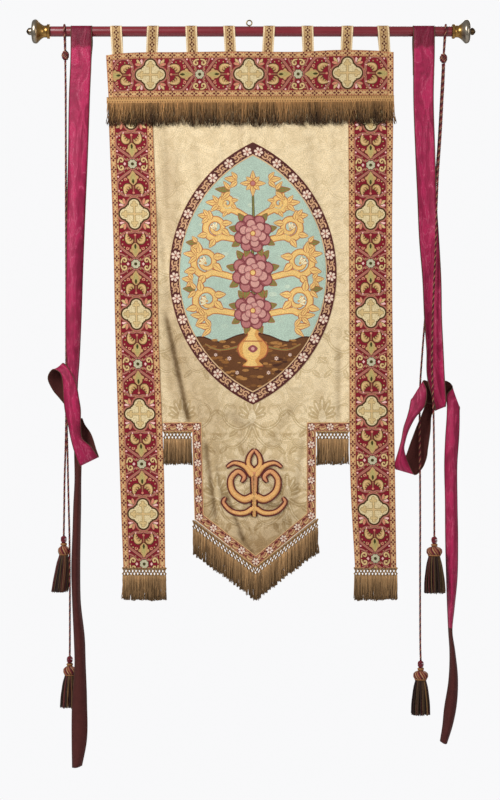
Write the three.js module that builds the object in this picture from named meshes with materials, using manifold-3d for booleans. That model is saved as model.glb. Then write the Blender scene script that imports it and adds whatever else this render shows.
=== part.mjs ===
// A church banner of cream damask on a lacquered pole, with woven bands, flowered braids,
// fringes, two knotted silk ribbons and two pairs of twisted cords with tassels.
// Millimetres, +Z up, +X to the right as seen from the front, the front faces -Y.
// The origin is the centre of the screw eye that the whole banner hangs from.
import * as THREE from 'three';
import { mergeVertices } from 'three/addons/utils/BufferGeometryUtils.js';
import Module from 'manifold-3d';

const wasm = await Module();
wasm.setup();

// Driving dimensions
const POLE = { radius: 14.3, left: -557.5, right: 567.3, z: -23.8, sides: 24 };
const FINIAL = { sides: 16, gap: 0.3 };
const EYE = { ring: 7.3, wire: 1.8, shank: 1.9, bore: 2.3, depth: 21, bottom: 1, ringSides: 14, sides: 8 };
const TAB = { width: 32, cloth: 1.2, clearance: 0.9, tongue: 30, joinRise: 4, legsPart: 6, wrapPast: 0.35 };
const RIBBON = { cloth: 1.2, wrapRadius: 15.8, wrapSteps: 8 };
const CORD = { radius: 3, sides: 8, step: 72 };
const GAP = 0.3;
const GRID = 48;
const THROUGH = 100;

// Layers of cloth, as distances in front of the panel's own face
const LAYER = {
  panel: { front: 0, back: -2 },
  braid: { front: 1.5, back: 0.3 },
  band: { front: 1.8, back: 0.3 },
  header: { front: 3.9, back: 2.1 },
  heading: { front: 5.7, back: 4.2 },
};

// Colours and finishes
function material(color, roughness, metalness = 0) {
  return new THREE.MeshStandardMaterial({ color, roughness, metalness });
}
const MATERIAL = {
  lacquer: material(0x8c232d, 0.35),
  brass: material(0xc8963c, 0.35, 0.9),
  iron: material(0x6b5636, 0.5, 0.8),
  tab: material(0xcdb184, 0.9),
  orphrey: material(0x8f2238, 0.85),
  damask: material(0xe1cda0, 0.75),
  flowerBraid: material(0x9c5b47, 0.85),
  picture: material(0xa9c3b4, 0.8),
  emblem: material(0xd28a4c, 0.6),
  bullion: material(0x7a5c38, 0.9),
  silk: material(0xa8254f, 0.4),
  cord: material(0x7a2430, 0.8),
  tassel: material(0x4a3324, 0.9),
};

// A table is a list of rows under named columns
function table(columns, rows) {
  return rows.map((row) => Object.fromEntries(columns.map((name, i) => [name, row[i]])));
}

// Smooth reading of one column of a table at a place along another
function along(rows, key, column, at) {
  const last = rows.length - 1;
  let i = 0;
  while (i < last - 1 && (at - rows[i + 1][key]) * (rows[last][key] - rows[0][key]) > 0) {
    i += 1;
  }
  const slope = (a, b) => (rows[b][column] - rows[a][column]) / (rows[b][key] - rows[a][key]);
  const before = slope(Math.max(i - 1, 0), Math.max(i - 1, 0) + 1);
  const here = slope(i, i + 1);
  const after = slope(Math.min(i + 1, last - 1), Math.min(i + 1, last - 1) + 1);
  const span = rows[i + 1][key] - rows[i][key];
  const t = Math.min(1, Math.max(0, (at - rows[i][key]) / span));
  const start = ((before + here) / 2) * span;
  const end = ((here + after) / 2) * span;
  const t2 = t * t;
  const t3 = t2 * t;
  return rows[i][column] * (2 * t3 - 3 * t2 + 1) + start * (t3 - 2 * t2 + t)
    + rows[i + 1][column] * (3 * t2 - 2 * t3) + end * (t3 - t2);
}

// Outlines of the cloth: edges of the bands, and the top and foot of the header
const LEFT_BAND = table(['z', 'outer', 'inner'], [
  [-216, -396, -272],
  [-286, -393, -270],
  [-594, -381, -258],
  [-874, -375, -254],
  [-1280, -362, -238],
  [-1526, -353, -235],
]);
const RIGHT_BAND = table(['z', 'outer', 'inner'], [
  [-216, 404, 276],
  [-286, 403, 277],
  [-594, 400, 279],
  [-874, 401, 280],
  [-1280, 408, 283],
  [-1526, 412, 296],
]);
const HEADER = table(['x', 'top', 'foot'], [
  [-401, -91, -226],
  [-354, -85, -226],
  [-180, -82, -224],
  [-37, -80, -224],
  [142, -81, -223],
  [251, -76, -222],
  [357, -78, -221],
  [404, -82, -221],
]);
const HEADER_FOOT_IN = 8;
const LEDGE_FOOT = -1144;
const TONGUE = { left: [-160, -1131, -153, -1389], tip: [18, -1524], right: [187, -1386, 187, -1131] };
const BRAID = { width: 26, cornerRise: 12, tipRise: 33, sideGap: 1 };
const PANEL_TOP = -120;
const PANEL_UNDER_BAND = 11;
const MANDORLA = { x: 10, z: -701, height: 367, width: 234, innerHeight: 330, innerWidth: 205, steps: 12 };

// How far the cloth stands forward: long waves that grow towards the foot, and the main folds
const WAVES = table(['length', 'slant', 'phase', 'height'], [
  [560, 0.25, 0.6, 5],
  [260, -0.12, 2.1, 2.5],
  [1500, 1.1, 4.0, 4],
]);
const FOLDS = table(['x0', 'z0', 'x1', 'z1', 'width', 'depth'], [
  [-234, -786, -171, -1109, 36, 9],
  [248, -900, 246, -1114, 34, 6],
  [-236, -560, -226, -776, 36, 4],
  [-146, -1168, -110, -1392, 30, 4],
]);
const WAVES_START = -290;
const WAVES_FULL = 850;
const FOLD_ENDS = 0.25;

function forward(x, z) {
  const grow = Math.min(1, Math.max(0, (WAVES_START - z) / WAVES_FULL));
  let sum = 0;
  for (const wave of WAVES) {
    sum += wave.height * grow * Math.sin((2 * Math.PI * (x + wave.slant * z)) / wave.length + wave.phase);
  }
  for (const fold of FOLDS) {
    const dx = fold.x1 - fold.x0;
    const dz = fold.z1 - fold.z0;
    const t = ((x - fold.x0) * dx + (z - fold.z0) * dz) / (dx * dx + dz * dz);
    const away = Math.hypot(x - fold.x0 - t * dx, z - fold.z0 - t * dz) / fold.width;
    const ends = Math.min(1, Math.max(0, (0.5 + FOLD_ENDS - Math.abs(t - 0.5)) / FOLD_ENDS));
    sum -= fold.depth * ends * ends * (3 - 2 * ends) * Math.exp(-away * away);
  }
  return sum;
}

// Meshes in and out of solids
function toSolid(source) {
  const bare = source.index ? source.toNonIndexed() : source;
  bare.deleteAttribute('normal');
  bare.deleteAttribute('uv');
  const merged = mergeVertices(bare, 1e-4);
  const mesh = new wasm.Mesh({
    numProp: 3,
    vertProperties: new Float32Array(merged.attributes.position.array),
    triVerts: new Uint32Array(merged.index.array),
  });
  return new wasm.Manifold(mesh);
}

function toGeometry(solid) {
  const mesh = solid.getMesh();
  const made = new THREE.BufferGeometry();
  made.setAttribute('position', new THREE.BufferAttribute(new Float32Array(mesh.vertProperties), 3));
  made.setIndex(new THREE.BufferAttribute(new Uint32Array(mesh.triVerts), 1));
  return made;
}

function shapeOf(points) {
  return new THREE.Shape(points.map(([x, z]) => new THREE.Vector2(x, z)));
}

// An upright prism: the shape lies in the X-Z plane and runs from y = near to y = far
function prism(shape, near, far) {
  const made = new THREE.ExtrudeGeometry(shape, { depth: far - near, bevelEnabled: false, curveSegments: 1 });
  made.rotateX(Math.PI / 2);
  made.translate(0, far, 0);
  return made;
}

// A closed skin from rows of points that all have the same number of points round. Its quads
// are split alike, but along their other diagonal from the side called turned on, and its
// ends are closed from side to side, as the ends of a bowed strip need.
function loft(rings, turned = Infinity) {
  const sides = rings[0].length;
  const points = rings.flat();
  const faces = [];
  for (let r = 0; r < rings.length - 1; r += 1) {
    for (let s = 0; s < sides; s += 1) {
      const a = r * sides + s;
      const b = r * sides + ((s + 1) % sides);
      if (s < turned) {
        faces.push(a, b, a + sides, b, b + sides, a + sides);
      } else {
        faces.push(a, b, b + sides, a, b + sides, a + sides);
      }
    }
  }
  const top = (rings.length - 1) * sides;
  let low = 0;
  let high = sides - 1;
  while (high - low > 1) {
    faces.push(low, high, low + 1, top + low, top + low + 1, top + high);
    low += 1;
    if (high - low > 1) {
      faces.push(low, high, high - 1, top + low, top + high - 1, top + high);
      high -= 1;
    }
  }
  const made = new THREE.BufferGeometry();
  made.setAttribute('position', new THREE.Float32BufferAttribute(points.flat(), 3));
  made.setIndex(faces);
  return made;
}

// Cloth: a grid slab on the hanging surface, cut to its outline
function cloth(shape, layer) {
  const box = new THREE.Box2().setFromPoints(shape.getPoints());
  const columns = [];
  for (let i = Math.floor(box.min.x / GRID) - 1; i <= Math.ceil(box.max.x / GRID) + 1; i += 1) {
    columns.push(i * GRID);
  }
  const lines = [];
  for (let j = Math.floor(box.min.y / GRID) - 1; j <= Math.ceil(box.max.y / GRID) + 1; j += 1) {
    lines.push(j * GRID);
  }
  const points = [];
  for (const offset of [layer.front, layer.back]) {
    for (const z of lines) {
      for (const x of columns) {
        points.push(x, -forward(x, z) - offset, z);
      }
    }
  }
  const wide = columns.length;
  const tall = lines.length;
  const sheet = wide * tall;
  const faces = [];
  for (let j = 0; j < tall - 1; j += 1) {
    for (let i = 0; i < wide - 1; i += 1) {
      const a = j * wide + i;
      const quad = [a, a + 1, a + wide + 1, a, a + wide + 1, a + wide];
      faces.push(...quad, ...quad.map((v) => v + sheet).reverse());
    }
  }
  const rim = [];
  for (let i = 0; i < wide - 1; i += 1) {
    rim.push([i + 1, i], [(tall - 1) * wide + i, (tall - 1) * wide + i + 1]);
  }
  for (let j = 0; j < tall - 1; j += 1) {
    rim.push([j * wide, (j + 1) * wide], [(j + 2) * wide - 1, (j + 1) * wide - 1]);
  }
  for (const [a, b] of rim) {
    faces.push(a, b, a + sheet, b, b + sheet, a + sheet);
  }
  const slab = new THREE.BufferGeometry();
  slab.setAttribute('position', new THREE.Float32BufferAttribute(points, 3));
  slab.setIndex(faces);
  return toSolid(slab).intersect(toSolid(prism(shape, -THROUGH, THROUGH)));
}

const banner = new THREE.Group();
banner.name = 'church_banner';

function add(name, shape, finish) {
  const made = shape.isBufferGeometry ? shape : toGeometry(shape);
  const mesh = new THREE.Mesh(made, finish);
  mesh.name = name;
  banner.add(mesh);
}

// Pole, with a blind hole for the eye's shank
function addPole() {
  const bar = new THREE.CylinderGeometry(POLE.radius, POLE.radius, POLE.right - POLE.left, POLE.sides);
  bar.rotateZ(Math.PI / 2);
  bar.translate((POLE.left + POLE.right) / 2, 0, POLE.z);
  const hole = new THREE.CylinderGeometry(EYE.bore, EYE.bore, EYE.depth * 2, EYE.sides);
  hole.rotateX(Math.PI / 2);
  hole.translate(0, 0, POLE.z + POLE.radius);
  add('pole', toSolid(bar).subtract(toSolid(hole)), MATERIAL.lacquer);
}

// Turned end: brass collar, flaring neck, pale disc and pointed knob, outward from the pole
const FINIAL_PROFILE = table(['out', 'radius'], [
  [0, 0],
  [0, 20],
  [8, 20.5],
  [9.5, 17],
  [18, 17],
  [29, 25],
  [36, 32],
  [43, 33.5],
  [50, 30],
  [54, 10],
  [60, 10],
  [67, 0],
]);

function addFinial(name, x, side) {
  const profile = FINIAL_PROFILE.map((row) => new THREE.Vector2(row.radius, row.out));
  const turned = new THREE.LatheGeometry(profile, FINIAL.sides);
  turned.rotateZ((-side * Math.PI) / 2);
  turned.translate(x, 0, POLE.z);
  add(name, toSolid(turned), MATERIAL.brass);
}

// Screw eye: a wire ring on a shank in the top of the pole
function addEye() {
  const ring = new THREE.TorusGeometry(EYE.ring, EYE.wire, EYE.sides, EYE.ringSides);
  ring.rotateX(Math.PI / 2);
  const shankTop = -EYE.ring;
  const shankFoot = POLE.z + POLE.radius - EYE.depth + EYE.bottom;
  const shank = new THREE.CylinderGeometry(EYE.shank, EYE.shank, shankTop - shankFoot, EYE.sides);
  shank.rotateX(Math.PI / 2);
  shank.translate(0, 0, (shankTop + shankFoot) / 2);
  add('hanging_eye', toSolid(ring).add(toSolid(shank)), MATERIAL.iron);
}

// Ribbon tabs: a loop round the pole whose legs meet in a tongue behind the header
const TABS = table(['x', 'slant'], [
  [-372, 3],
  [-270, -3],
  [-162, 2],
  [-56, 3],
  [55, -3],
  [163, 2],
  [274, -2],
  [375, 4],
]);

function arc(radius, from, to, steps) {
  const points = [];
  for (let i = 0; i <= steps; i += 1) {
    const angle = from + ((to - from) * i) / steps;
    points.push([radius * Math.cos(angle), POLE.z + radius * Math.sin(angle)]);
  }
  return points;
}

function addTab(name, x, slant) {
  const inner = POLE.radius + TAB.clearance;
  const outer = inner + TAB.cloth;
  const join = along(HEADER, 'x', 'top', x) + TAB.joinRise;
  const outline = [
    ...arc(outer, -TAB.wrapPast, Math.PI + TAB.wrapPast, 10),
    [-TAB.cloth, join],
    [-TAB.cloth, join - TAB.tongue],
    [TAB.cloth, join - TAB.tongue],
    [TAB.cloth, join],
  ];
  const hole = [...arc(inner, -TAB.wrapPast, Math.PI + TAB.wrapPast, 8), [0, join + TAB.legsPart]];
  const section = shapeOf(outline);
  section.holes.push(new THREE.Path(hole.map(([y, z]) => new THREE.Vector2(y, z))));
  const how = { depth: TAB.width, bevelEnabled: false, curveSegments: 1 };
  const band = new THREE.ExtrudeGeometry(section, how);
  band.translate(0, 0, -TAB.width / 2);
  const place = band.attributes.position;
  for (let i = 0; i < place.count; i += 1) {
    const lean = (slant * (POLE.z - place.getY(i))) / (POLE.z - join);
    place.setXYZ(i, x + place.getZ(i) + lean, place.getX(i), place.getY(i));
  }
  add(name, toSolid(band), MATERIAL.tab);
}

// Edges sampled at an even step, for outlines that follow a table
function steps(from, to, size) {
  const count = Math.max(1, Math.round(Math.abs(to - from) / size));
  return Array.from({ length: count + 1 }, (_, i) => from + ((to - from) * i) / count);
}

function addHeader() {
  const left = HEADER[0].x;
  const right = HEADER[HEADER.length - 1].x;
  const top = steps(left, right, 48).map((x) => [x, along(HEADER, 'x', 'top', x)]);
  const foot = steps(right, left, 110).map((x) => [x, along(HEADER, 'x', 'foot', x)]);
  foot[foot.length - 1][0] += HEADER_FOOT_IN;
  add('header_band', cloth(shapeOf([...top, ...foot]), LAYER.header), MATERIAL.orphrey);
}

function bandEdge(band, column, from, to) {
  return steps(from, to, 120).map((z) => [along(band, 'z', column, z), z]);
}

function addBand(name, band) {
  const top = band[0].z;
  const foot = band[band.length - 1].z;
  const outline = [...bandEdge(band, 'outer', top, foot), ...bandEdge(band, 'inner', foot, top)];
  add(name, cloth(shapeOf(outline), LAYER.band), MATERIAL.orphrey);
}

// The panel's side edges lie a little way under the bands, down to the ledges
function tongueOutline() {
  const { left, tip, right } = TONGUE;
  return [[left[0], left[1]], [left[2], left[3]], tip, [right[0], right[1]], [right[2], right[3]]];
}

function addPanel() {
  const under = (edge, by) => edge.map(([x, z]) => [x + by, z]);
  const leftEdge = under(bandEdge(LEFT_BAND, 'inner', -216, LEDGE_FOOT), -PANEL_UNDER_BAND);
  const rightEdge = under(bandEdge(RIGHT_BAND, 'inner', LEDGE_FOOT, -216), PANEL_UNDER_BAND);
  const [first, ...rest] = tongueOutline();
  const last = rest.pop();
  const outline = [
    [leftEdge[0][0], PANEL_TOP],
    ...leftEdge,
    [first[0], LEDGE_FOOT],
    ...rest,
    [last[0], LEDGE_FOOT],
    ...rightEdge,
    [rightEdge[rightEdge.length - 1][0], PANEL_TOP],
  ];
  add('panel', cloth(shapeOf(outline), LAYER.panel), MATERIAL.damask);
}

// Almond of two arcs, from its half height and half width
function almond(height, width, count) {
  const radius = (height * height + width * width) / (2 * width);
  const half = Math.asin(height / radius);
  const points = [];
  for (const side of [1, -1]) {
    for (let i = 0; i < count; i += 1) {
      const angle = -half + (2 * half * i) / count;
      const x = radius * Math.cos(angle) - (radius - width);
      points.push([MANDORLA.x + side * x, MANDORLA.z + side * radius * Math.sin(angle)]);
    }
  }
  return points;
}

function addMandorla() {
  const ring = shapeOf(almond(MANDORLA.height, MANDORLA.width, MANDORLA.steps));
  const opening = almond(MANDORLA.innerHeight, MANDORLA.innerWidth, MANDORLA.steps);
  ring.holes.push(new THREE.Path(opening.map(([x, z]) => new THREE.Vector2(x, z))));
  add('mandorla_border', cloth(ring, LAYER.braid), MATERIAL.flowerBraid);
  const field = almond(MANDORLA.innerHeight - 2 * GAP, MANDORLA.innerWidth - 2 * GAP, MANDORLA.steps);
  add('mandorla_picture', cloth(shapeOf(field), LAYER.braid), MATERIAL.picture);
}

// Flowered braid along the ledges and the point, mitred at its corners
function addLowerBraid() {
  const { left, tip, right } = TONGUE;
  const start = along(LEFT_BAND, 'z', 'inner', LEDGE_FOOT) + BRAID.sideGap;
  const end = along(RIGHT_BAND, 'z', 'inner', LEDGE_FOOT) - BRAID.sideGap;
  const top = LEDGE_FOOT + BRAID.width;
  const outline = [
    [start, top], [start, LEDGE_FOOT], [left[0], LEDGE_FOOT], [left[2], left[3]], tip,
    [right[0], right[1]], [right[2], LEDGE_FOOT], [end, LEDGE_FOOT], [end, top],
    [right[2] - BRAID.width, top], [right[0] - BRAID.width, right[1] + BRAID.cornerRise],
    [tip[0], tip[1] + BRAID.tipRise],
    [left[2] + BRAID.width, left[3] + BRAID.cornerRise], [left[0] + BRAID.width, top],
  ];
  add('lower_braid', cloth(shapeOf(outline), LAYER.braid), MATERIAL.flowerBraid);
}

// Ornament on the tongue: a fleuron of tapering strokes, mirrored about its stem
const EMBLEM = { x: 14, z: -1262, reach: 110 };
const EMBLEM_STROKES = table(['points', 'start', 'end'], [
  [[[0, -84], [0, 40]], 9, 12],
  [[[0, -30], [26, -36], [54, -18], [58, 12], [40, 30], [24, 16]], 9, 6],
  [[[0, -60], [30, -74], [62, -68], [80, -44]], 8, 4],
  [[[0, 24], [34, 50], [66, 56]], 8, 4],
  [[[0, 30], [16, 54], [12, 78], [0, 94]], 9, 5],
]);

function stroke(row, side) {
  const curve = new THREE.CatmullRomCurve3(row.points.map(([x, z]) => new THREE.Vector3(side * x, z, 0)));
  const count = 2 * (row.points.length - 1);
  const left = [];
  const right = [];
  for (let i = 0; i <= count; i += 1) {
    const t = i / count;
    const at = curve.getPoint(t);
    const way = curve.getTangent(t);
    const half = row.start + (row.end - row.start) * t;
    left.push([EMBLEM.x + at.x - way.y * half, EMBLEM.z + at.y + way.x * half]);
    right.unshift([EMBLEM.x + at.x + way.y * half, EMBLEM.z + at.y - way.x * half]);
  }
  return toSolid(prism(shapeOf([...left, ...right]), -THROUGH, THROUGH));
}

function addEmblem() {
  let outline = null;
  for (const row of EMBLEM_STROKES) {
    for (const side of [1, -1]) {
      const one = stroke(row, side);
      outline = outline ? outline.add(one) : one;
    }
  }
  const { reach } = EMBLEM;
  const around = [[-reach, -reach], [reach, -reach], [reach, reach], [-reach, reach]];
  const field = around.map(([x, z]) => [EMBLEM.x + x, EMBLEM.z + z]);
  add('emblem', cloth(shapeOf(field), LAYER.braid).intersect(outline), MATERIAL.emblem);
}

// Uneven lengths and leans of fringe, the same on every build
function uneven(i) {
  return Math.sin(i * 2.399) * 0.6 + Math.sin(i * 0.731 + 1.3) * 0.4;
}

// Fringe: a strip that follows an edge of cloth, with cut locks hanging apart below it
const LOCK = { lean: 0.8, cut: 3, loosePast: 5 };

function fringeSolid({
  first, last, edgeAt, stops, drop, offset, thick, gaps, locks, length, wide, deep, hang,
}) {
  const pitch = (last - first) / locks;
  const upper = stops.map((x) => [x, edgeAt(x)]);
  const lower = [];
  for (let i = 0; i < locks; i += 1) {
    const x = first + (i + 0.5) * pitch;
    const end = x + LOCK.lean * uneven(i);
    const foot = edgeAt(x) - length - LOCK.cut * uneven(i + 2);
    const corners = [[x - wide, null], [end - wide, foot], [end + wide, foot], [x + wide, null]];
    lower.push(...corners.map(([at, z]) => [at, z ?? edgeAt(at) - drop]));
  }
  const startFoot = [first, edgeAt(first) - drop];
  const endFoot = [last, edgeAt(last) - drop];
  const strip = shapeOf([startFoot, ...lower, endFoot, ...upper.reverse()]);
  strip.holes.push(...gaps);
  const sheet = prism(strip, -1, 1);
  const place = sheet.attributes.position;
  for (let i = 0; i < place.count; i += 1) {
    const x = place.getX(i);
    const z = place.getZ(i);
    const side = Math.sign(place.getY(i));
    const loose = z < edgeAt(x) - drop - LOCK.loosePast;
    const which = Math.floor((x - first) / pitch);
    const half = loose ? deep : thick / 2;
    const sway = loose ? hang + uneven(which + 5) : 0;
    place.setY(i, side * half - sway - offset - forward(x, z));
  }
  return sheet;
}

// Bullion fringe under its heading braid
const HEADER_FRINGE = { locks: 48, braid: 17, length: 77, wide: 7, thick: 1.5, deep: 3.4, hang: 4 };

function addHeaderFringe() {
  const first = HEADER[0].x + 2;
  const last = HEADER[HEADER.length - 1].x + 1;
  add('header_fringe', fringeSolid({
    first,
    last,
    edgeAt: (x) => along(HEADER, 'x', 'foot', x) + HEADER_FRINGE.braid,
    stops: steps(first, last, 60),
    drop: HEADER_FRINGE.braid + 1,
    offset: (LAYER.heading.front + LAYER.heading.back) / 2,
    gaps: [],
    ...HEADER_FRINGE,
  }), MATERIAL.bullion);
}

// Net heading with its lozenge gaps, and the cut locks under it
const NET = {
  drop: 24, pitch: 17, rows: 2, rowPitch: 9.6, firstRow: 6.7, halfWide: 5.4, halfTall: 4.8, step: 40,
};
const NET_FRINGE = { thick: 2, wide: 4.2, deep: 2, hang: 0 };
const LOCK_PITCH = 10.4;
const NET_LENGTH = { ledge: 93, tongue: 92, band: 90 };
const NET_ENDS = { ledge: 3, corner: 2, tongue: 5, tongueDrop: 4 };

function addNetFringe(name, edge, length) {
  const rows = table(['x', 'z'], edge);
  const first = rows[0].x;
  const last = rows[rows.length - 1].x;
  const edgeAt = (x) => {
    const i = Math.max(1, rows.findIndex((row) => row.x >= Math.min(x, last) - 1e-6));
    const t = (x - rows[i - 1].x) / (rows[i].x - rows[i - 1].x);
    return rows[i - 1].z + t * (rows[i].z - rows[i - 1].z);
  };
  const stops = rows.slice(1).flatMap((row, i) => steps(rows[i].x, row.x, NET.step).slice(i === 0 ? 0 : 1));
  const gaps = [];
  for (const [i, row] of rows.slice(1).entries()) {
    const from = rows[i].x;
    const slope = (row.z - rows[i].z) / (row.x - from);
    const count = Math.floor((row.x - from) / NET.pitch);
    for (let r = 0; r < NET.rows; r += 1) {
      for (let c = 0; c < count - (r % 2); c += 1) {
        const x = from + ((c + 0.5 + (r % 2) / 2) * (row.x - from)) / count;
        const z = edgeAt(x) - NET.firstRow - r * NET.rowPitch;
        const corners = [[NET.halfWide, 0], [0, NET.halfTall], [-NET.halfWide, 0], [0, -NET.halfTall]];
        gaps.push(new THREE.Path(corners.map(([dx, dz]) => new THREE.Vector2(x + dx, z + dz + slope * dx))));
      }
    }
  }
  const locks = Math.floor((last - first) / LOCK_PITCH);
  const sizes = { first, last, edgeAt, stops, drop: NET.drop, offset: 0, gaps, locks, length, ...NET_FRINGE };
  add(name, fringeSolid(sizes), MATERIAL.bullion);
}

function addNetFringes() {
  const below = LEDGE_FOOT - GAP;
  const ledgeLeft = along(LEFT_BAND, 'z', 'inner', LEDGE_FOOT) + NET_ENDS.ledge;
  const ledgeRight = along(RIGHT_BAND, 'z', 'inner', LEDGE_FOOT) - NET_ENDS.ledge;
  const { left, tip, right } = TONGUE;
  const leftLedge = [[ledgeLeft, below], [left[0] - NET_ENDS.corner, below]];
  const rightLedge = [[right[2] + NET_ENDS.corner, below], [ledgeRight, below]];
  addNetFringe('ledge_fringe_left', leftLedge, NET_LENGTH.ledge);
  addNetFringe('ledge_fringe_right', rightLedge, NET_LENGTH.ledge);
  addNetFringe('tongue_fringe', [
    [left[2] - NET_ENDS.tongue, left[3] - NET_ENDS.tongueDrop],
    [tip[0], tip[1] - 2 * GAP],
    [right[0] + NET_ENDS.tongue, right[1] - NET_ENDS.tongueDrop],
  ], NET_LENGTH.tongue);
  for (const [name, band, from, to] of [
    ['band_fringe_left', LEFT_BAND, 'outer', 'inner'],
    ['band_fringe_right', RIGHT_BAND, 'inner', 'outer'],
  ]) {
    const end = band[band.length - 1];
    const foot = end.z - GAP;
    const edge = [[end[from] - NET_ENDS.corner, foot], [end[to] + NET_ENDS.corner, foot]];
    addNetFringe(name, edge, NET_LENGTH.band);
  }
}

// Silk ribbons: a row for each place along the strip, with both edges and how far back
// the left edge, the middle and the right edge lie. The rows go down from the pole, round
// the loose knot and down the tail; the leg behind the pole comes first.
const RIBBON_COLUMNS = ['ax', 'az', 'bx', 'bz', 'ya', 'ym', 'yb'];
const RIBBON_LEFT = {
  leg: table(RIBBON_COLUMNS, [
    [-496, -143, -443, -143, -12, -12, -12],
    [-496, -98, -442, -98, -4, -4, -4],
    [-495, -53, -440, -53, 13, 13, 13],
  ]),
  fall: table(RIBBON_COLUMNS, [
    [-498, -76, -441, -76, -16, -16, -16],
    [-503, -216, -446, -216, -16, -18, -16],
    [-505, -356, -451, -356, -16, -20, -15],
    [-508, -493, -457, -493, -16, -23, -14],
    [-510, -664, -464, -664, -16, -27, -13],
    [-512, -860, -471, -860, -14, -31, -12],
    [-510, -944, -475, -944, -13, -32, -12],
    [-508, -1014, -480, -1014, -12, -31, -11],
    [-504, -1056, -481, -1056, -10, -27, -9],
    [-500, -1086, -480, -1081, -5, -16, -5],
    [-498, -1100, -478, -1092, 4, 0, 4],
    [-503, -1088, -478, -1068, 12, 12, 13],
    [-530, -1053, -499, -1016, 14, 17, 16],
    [-552, -1025, -523, -984, 9, 12, 10],
    [-563, -990, -523, -953, -4, -6, -5],
    [-548, -970, -511, -959, -20, -24, -22],
    [-529, -977, -498, -976, -29, -36, -32],
    [-519, -1008, -482, -1012, -33, -42, -36],
    [-517, -1047, -475, -1049, -32, -43, -36],
    [-513, -1086, -470, -1081, -29, -42, -34],
    [-504, -1128, -470, -1123, -26, -42, -31],
    [-496, -1168, -466, -1162, -24, -40, -28],
    [-485, -1207, -442, -1186, -22, -32, -26],
    [-472, -1240, -421, -1215, -13, -13, -15],
    [-474, -1210, -428, -1196, -5, -3, -7],
    [-485, -1159, -445, -1148, 2, 6, 0],
    [-492, -1130, -463, -1122, 9, 15, 8],
    [-494, -1114, -468, -1110, 15, 21, 14],
    [-493, -1110, -470, -1107, 22, 29, 21],
    [-492, -1128, -471, -1128, 26, 34, 25],
    [-491, -1200, -471, -1200, 18, 24, 18],
    [-489, -1280, -472, -1280, 8, -6, 8],
    [-492, -1350, -472, -1350, 3, -18, 4],
    [-494, -1420, -473, -1420, 0, -24, 2],
    [-497, -1532, -474, -1532, -6, -30, -3],
    [-494, -1616, -472, -1616, -14, -38, -11],
    [-488, -1728, -459, -1728, -26, -46, -24],
    [-486, -1784, -457, -1784, -30, -49, -28],
    [-493, -1896, -453, -1896, -31, -46, -29],
    [-494, -2008, -454, -2008, -30, -44, -28],
    [-493, -2080, -467, -2075, -28, -48, -25],
  ]),
};
const RIBBON_RIGHT = {
  leg: table(RIBBON_COLUMNS, [
    [458, -148, 516, -148, -12, -12, -12],
    [458, -98, 516, -98, -4, -4, -4],
    [458, -53, 517, -53, 13, 13, 13],
  ]),
  fall: table(RIBBON_COLUMNS, [
    [459, -76, 517, -76, -16, -16, -16],
    [459, -216, 514, -216, -17, -15, -17],
    [464, -356, 518, -356, -17, -14, -17],
    [470, -493, 522, -493, -18, -12, -18],
    [475, -608, 529, -608, -19, -11, -19],
    [484, -720, 535, -720, -20, -9, -20],
    [489, -832, 537, -832, -21, -8, -21],
    [495, -916, 541, -916, -22, -7, -22],
    [498, -1000, 545, -1000, -22, -6, -22],
    [509, -1042, 548, -1039, -21, -5, -21],
    [519, -1072, 549, -1063, -18, -6, -17],
    [521, -1085, 548, -1074, -10, -4, -10],
    [517, -1072, 545, -1058, -2, 0, -2],
    [502, -1064, 527, -1022, 0, 2, 0],
    [478, -1061, 510, -1009, -1, 1, -1],
    [455, -1052, 486, -1002, -7, -8, -7],
    [450, -1066, 495, -1026, -14, -17, -14],
    [447, -1081, 491, -1068, -17, -21, -17],
    [440, -1107, 463, -1105, -14, -33, -17],
    [432, -1131, 448, -1133, -12, -37, -15],
    [424, -1172, 436, -1168, -13, -38, -14],
    [415, -1205, 432, -1193, -13, -36, -15],
    [407, -1232, 439, -1219, -13, -28, -15],
    [407, -1243, 450, -1245, -11, -16, -10],
    [412, -1250, 463, -1265, -4, -3, 1],
    [422, -1238, 485, -1247, 8, 12, 17],
    [437, -1219, 496, -1222, 14, 17, 16],
    [453, -1176, 501, -1190, 14, 18, 14],
    [470, -1131, 508, -1140, 14, 22, 14],
    [484, -1098, 511, -1099, 14, 24, 14],
    [502, -1053, 526, -1078, 14, 22, 14],
    [523, -1018, 542, -1063, 13, 17, 12],
    [547, -1002, 562, -1056, 9, 11, 8],
    [569, -1022, 588, -1074, -2, 0, -2],
    [552, -1040, 587, -1084, -12, -14, -12],
    [553, -1070, 587, -1103, -13, -20, -13],
    [548, -1168, 585, -1168, -12, -28, -12],
    [546, -1224, 581, -1224, -10, -28, -11],
    [548, -1336, 581, -1336, -8, -28, -10],
    [549, -1448, 583, -1448, -6, -26, -8],
    [552, -1560, 581, -1560, -4, -26, -6],
    [555, -1644, 573, -1644, -2, -28, -2],
    [558, -1705, 568, -1705, -2, -30, 2],
    [561, -1756, 575, -1756, -4, -31, -2],
    [558, -1840, 583, -1840, -6, -28, -4],
    [545, -1924, 577, -1924, -6, -26, -6],
    [541, -1966, 568, -1966, -6, -28, -6],
    [534, -2010, 552, -2017, -6, -32, -6],
  ]),
};

function ribbonRows(ribbon) {
  const top = ribbon.fall[0];
  const wrap = [];
  for (let i = 0; i <= RIBBON.wrapSteps; i += 1) {
    const angle = (Math.PI * i) / RIBBON.wrapSteps;
    const y = RIBBON.wrapRadius * Math.cos(angle);
    const z = POLE.z + RIBBON.wrapRadius * Math.sin(angle);
    wrap.push({ ax: top.ax, az: z, bx: top.bx, bz: z, ya: y, ym: y, yb: y });
  }
  return [...ribbon.leg, ...wrap, ...ribbon.fall];
}

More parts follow.
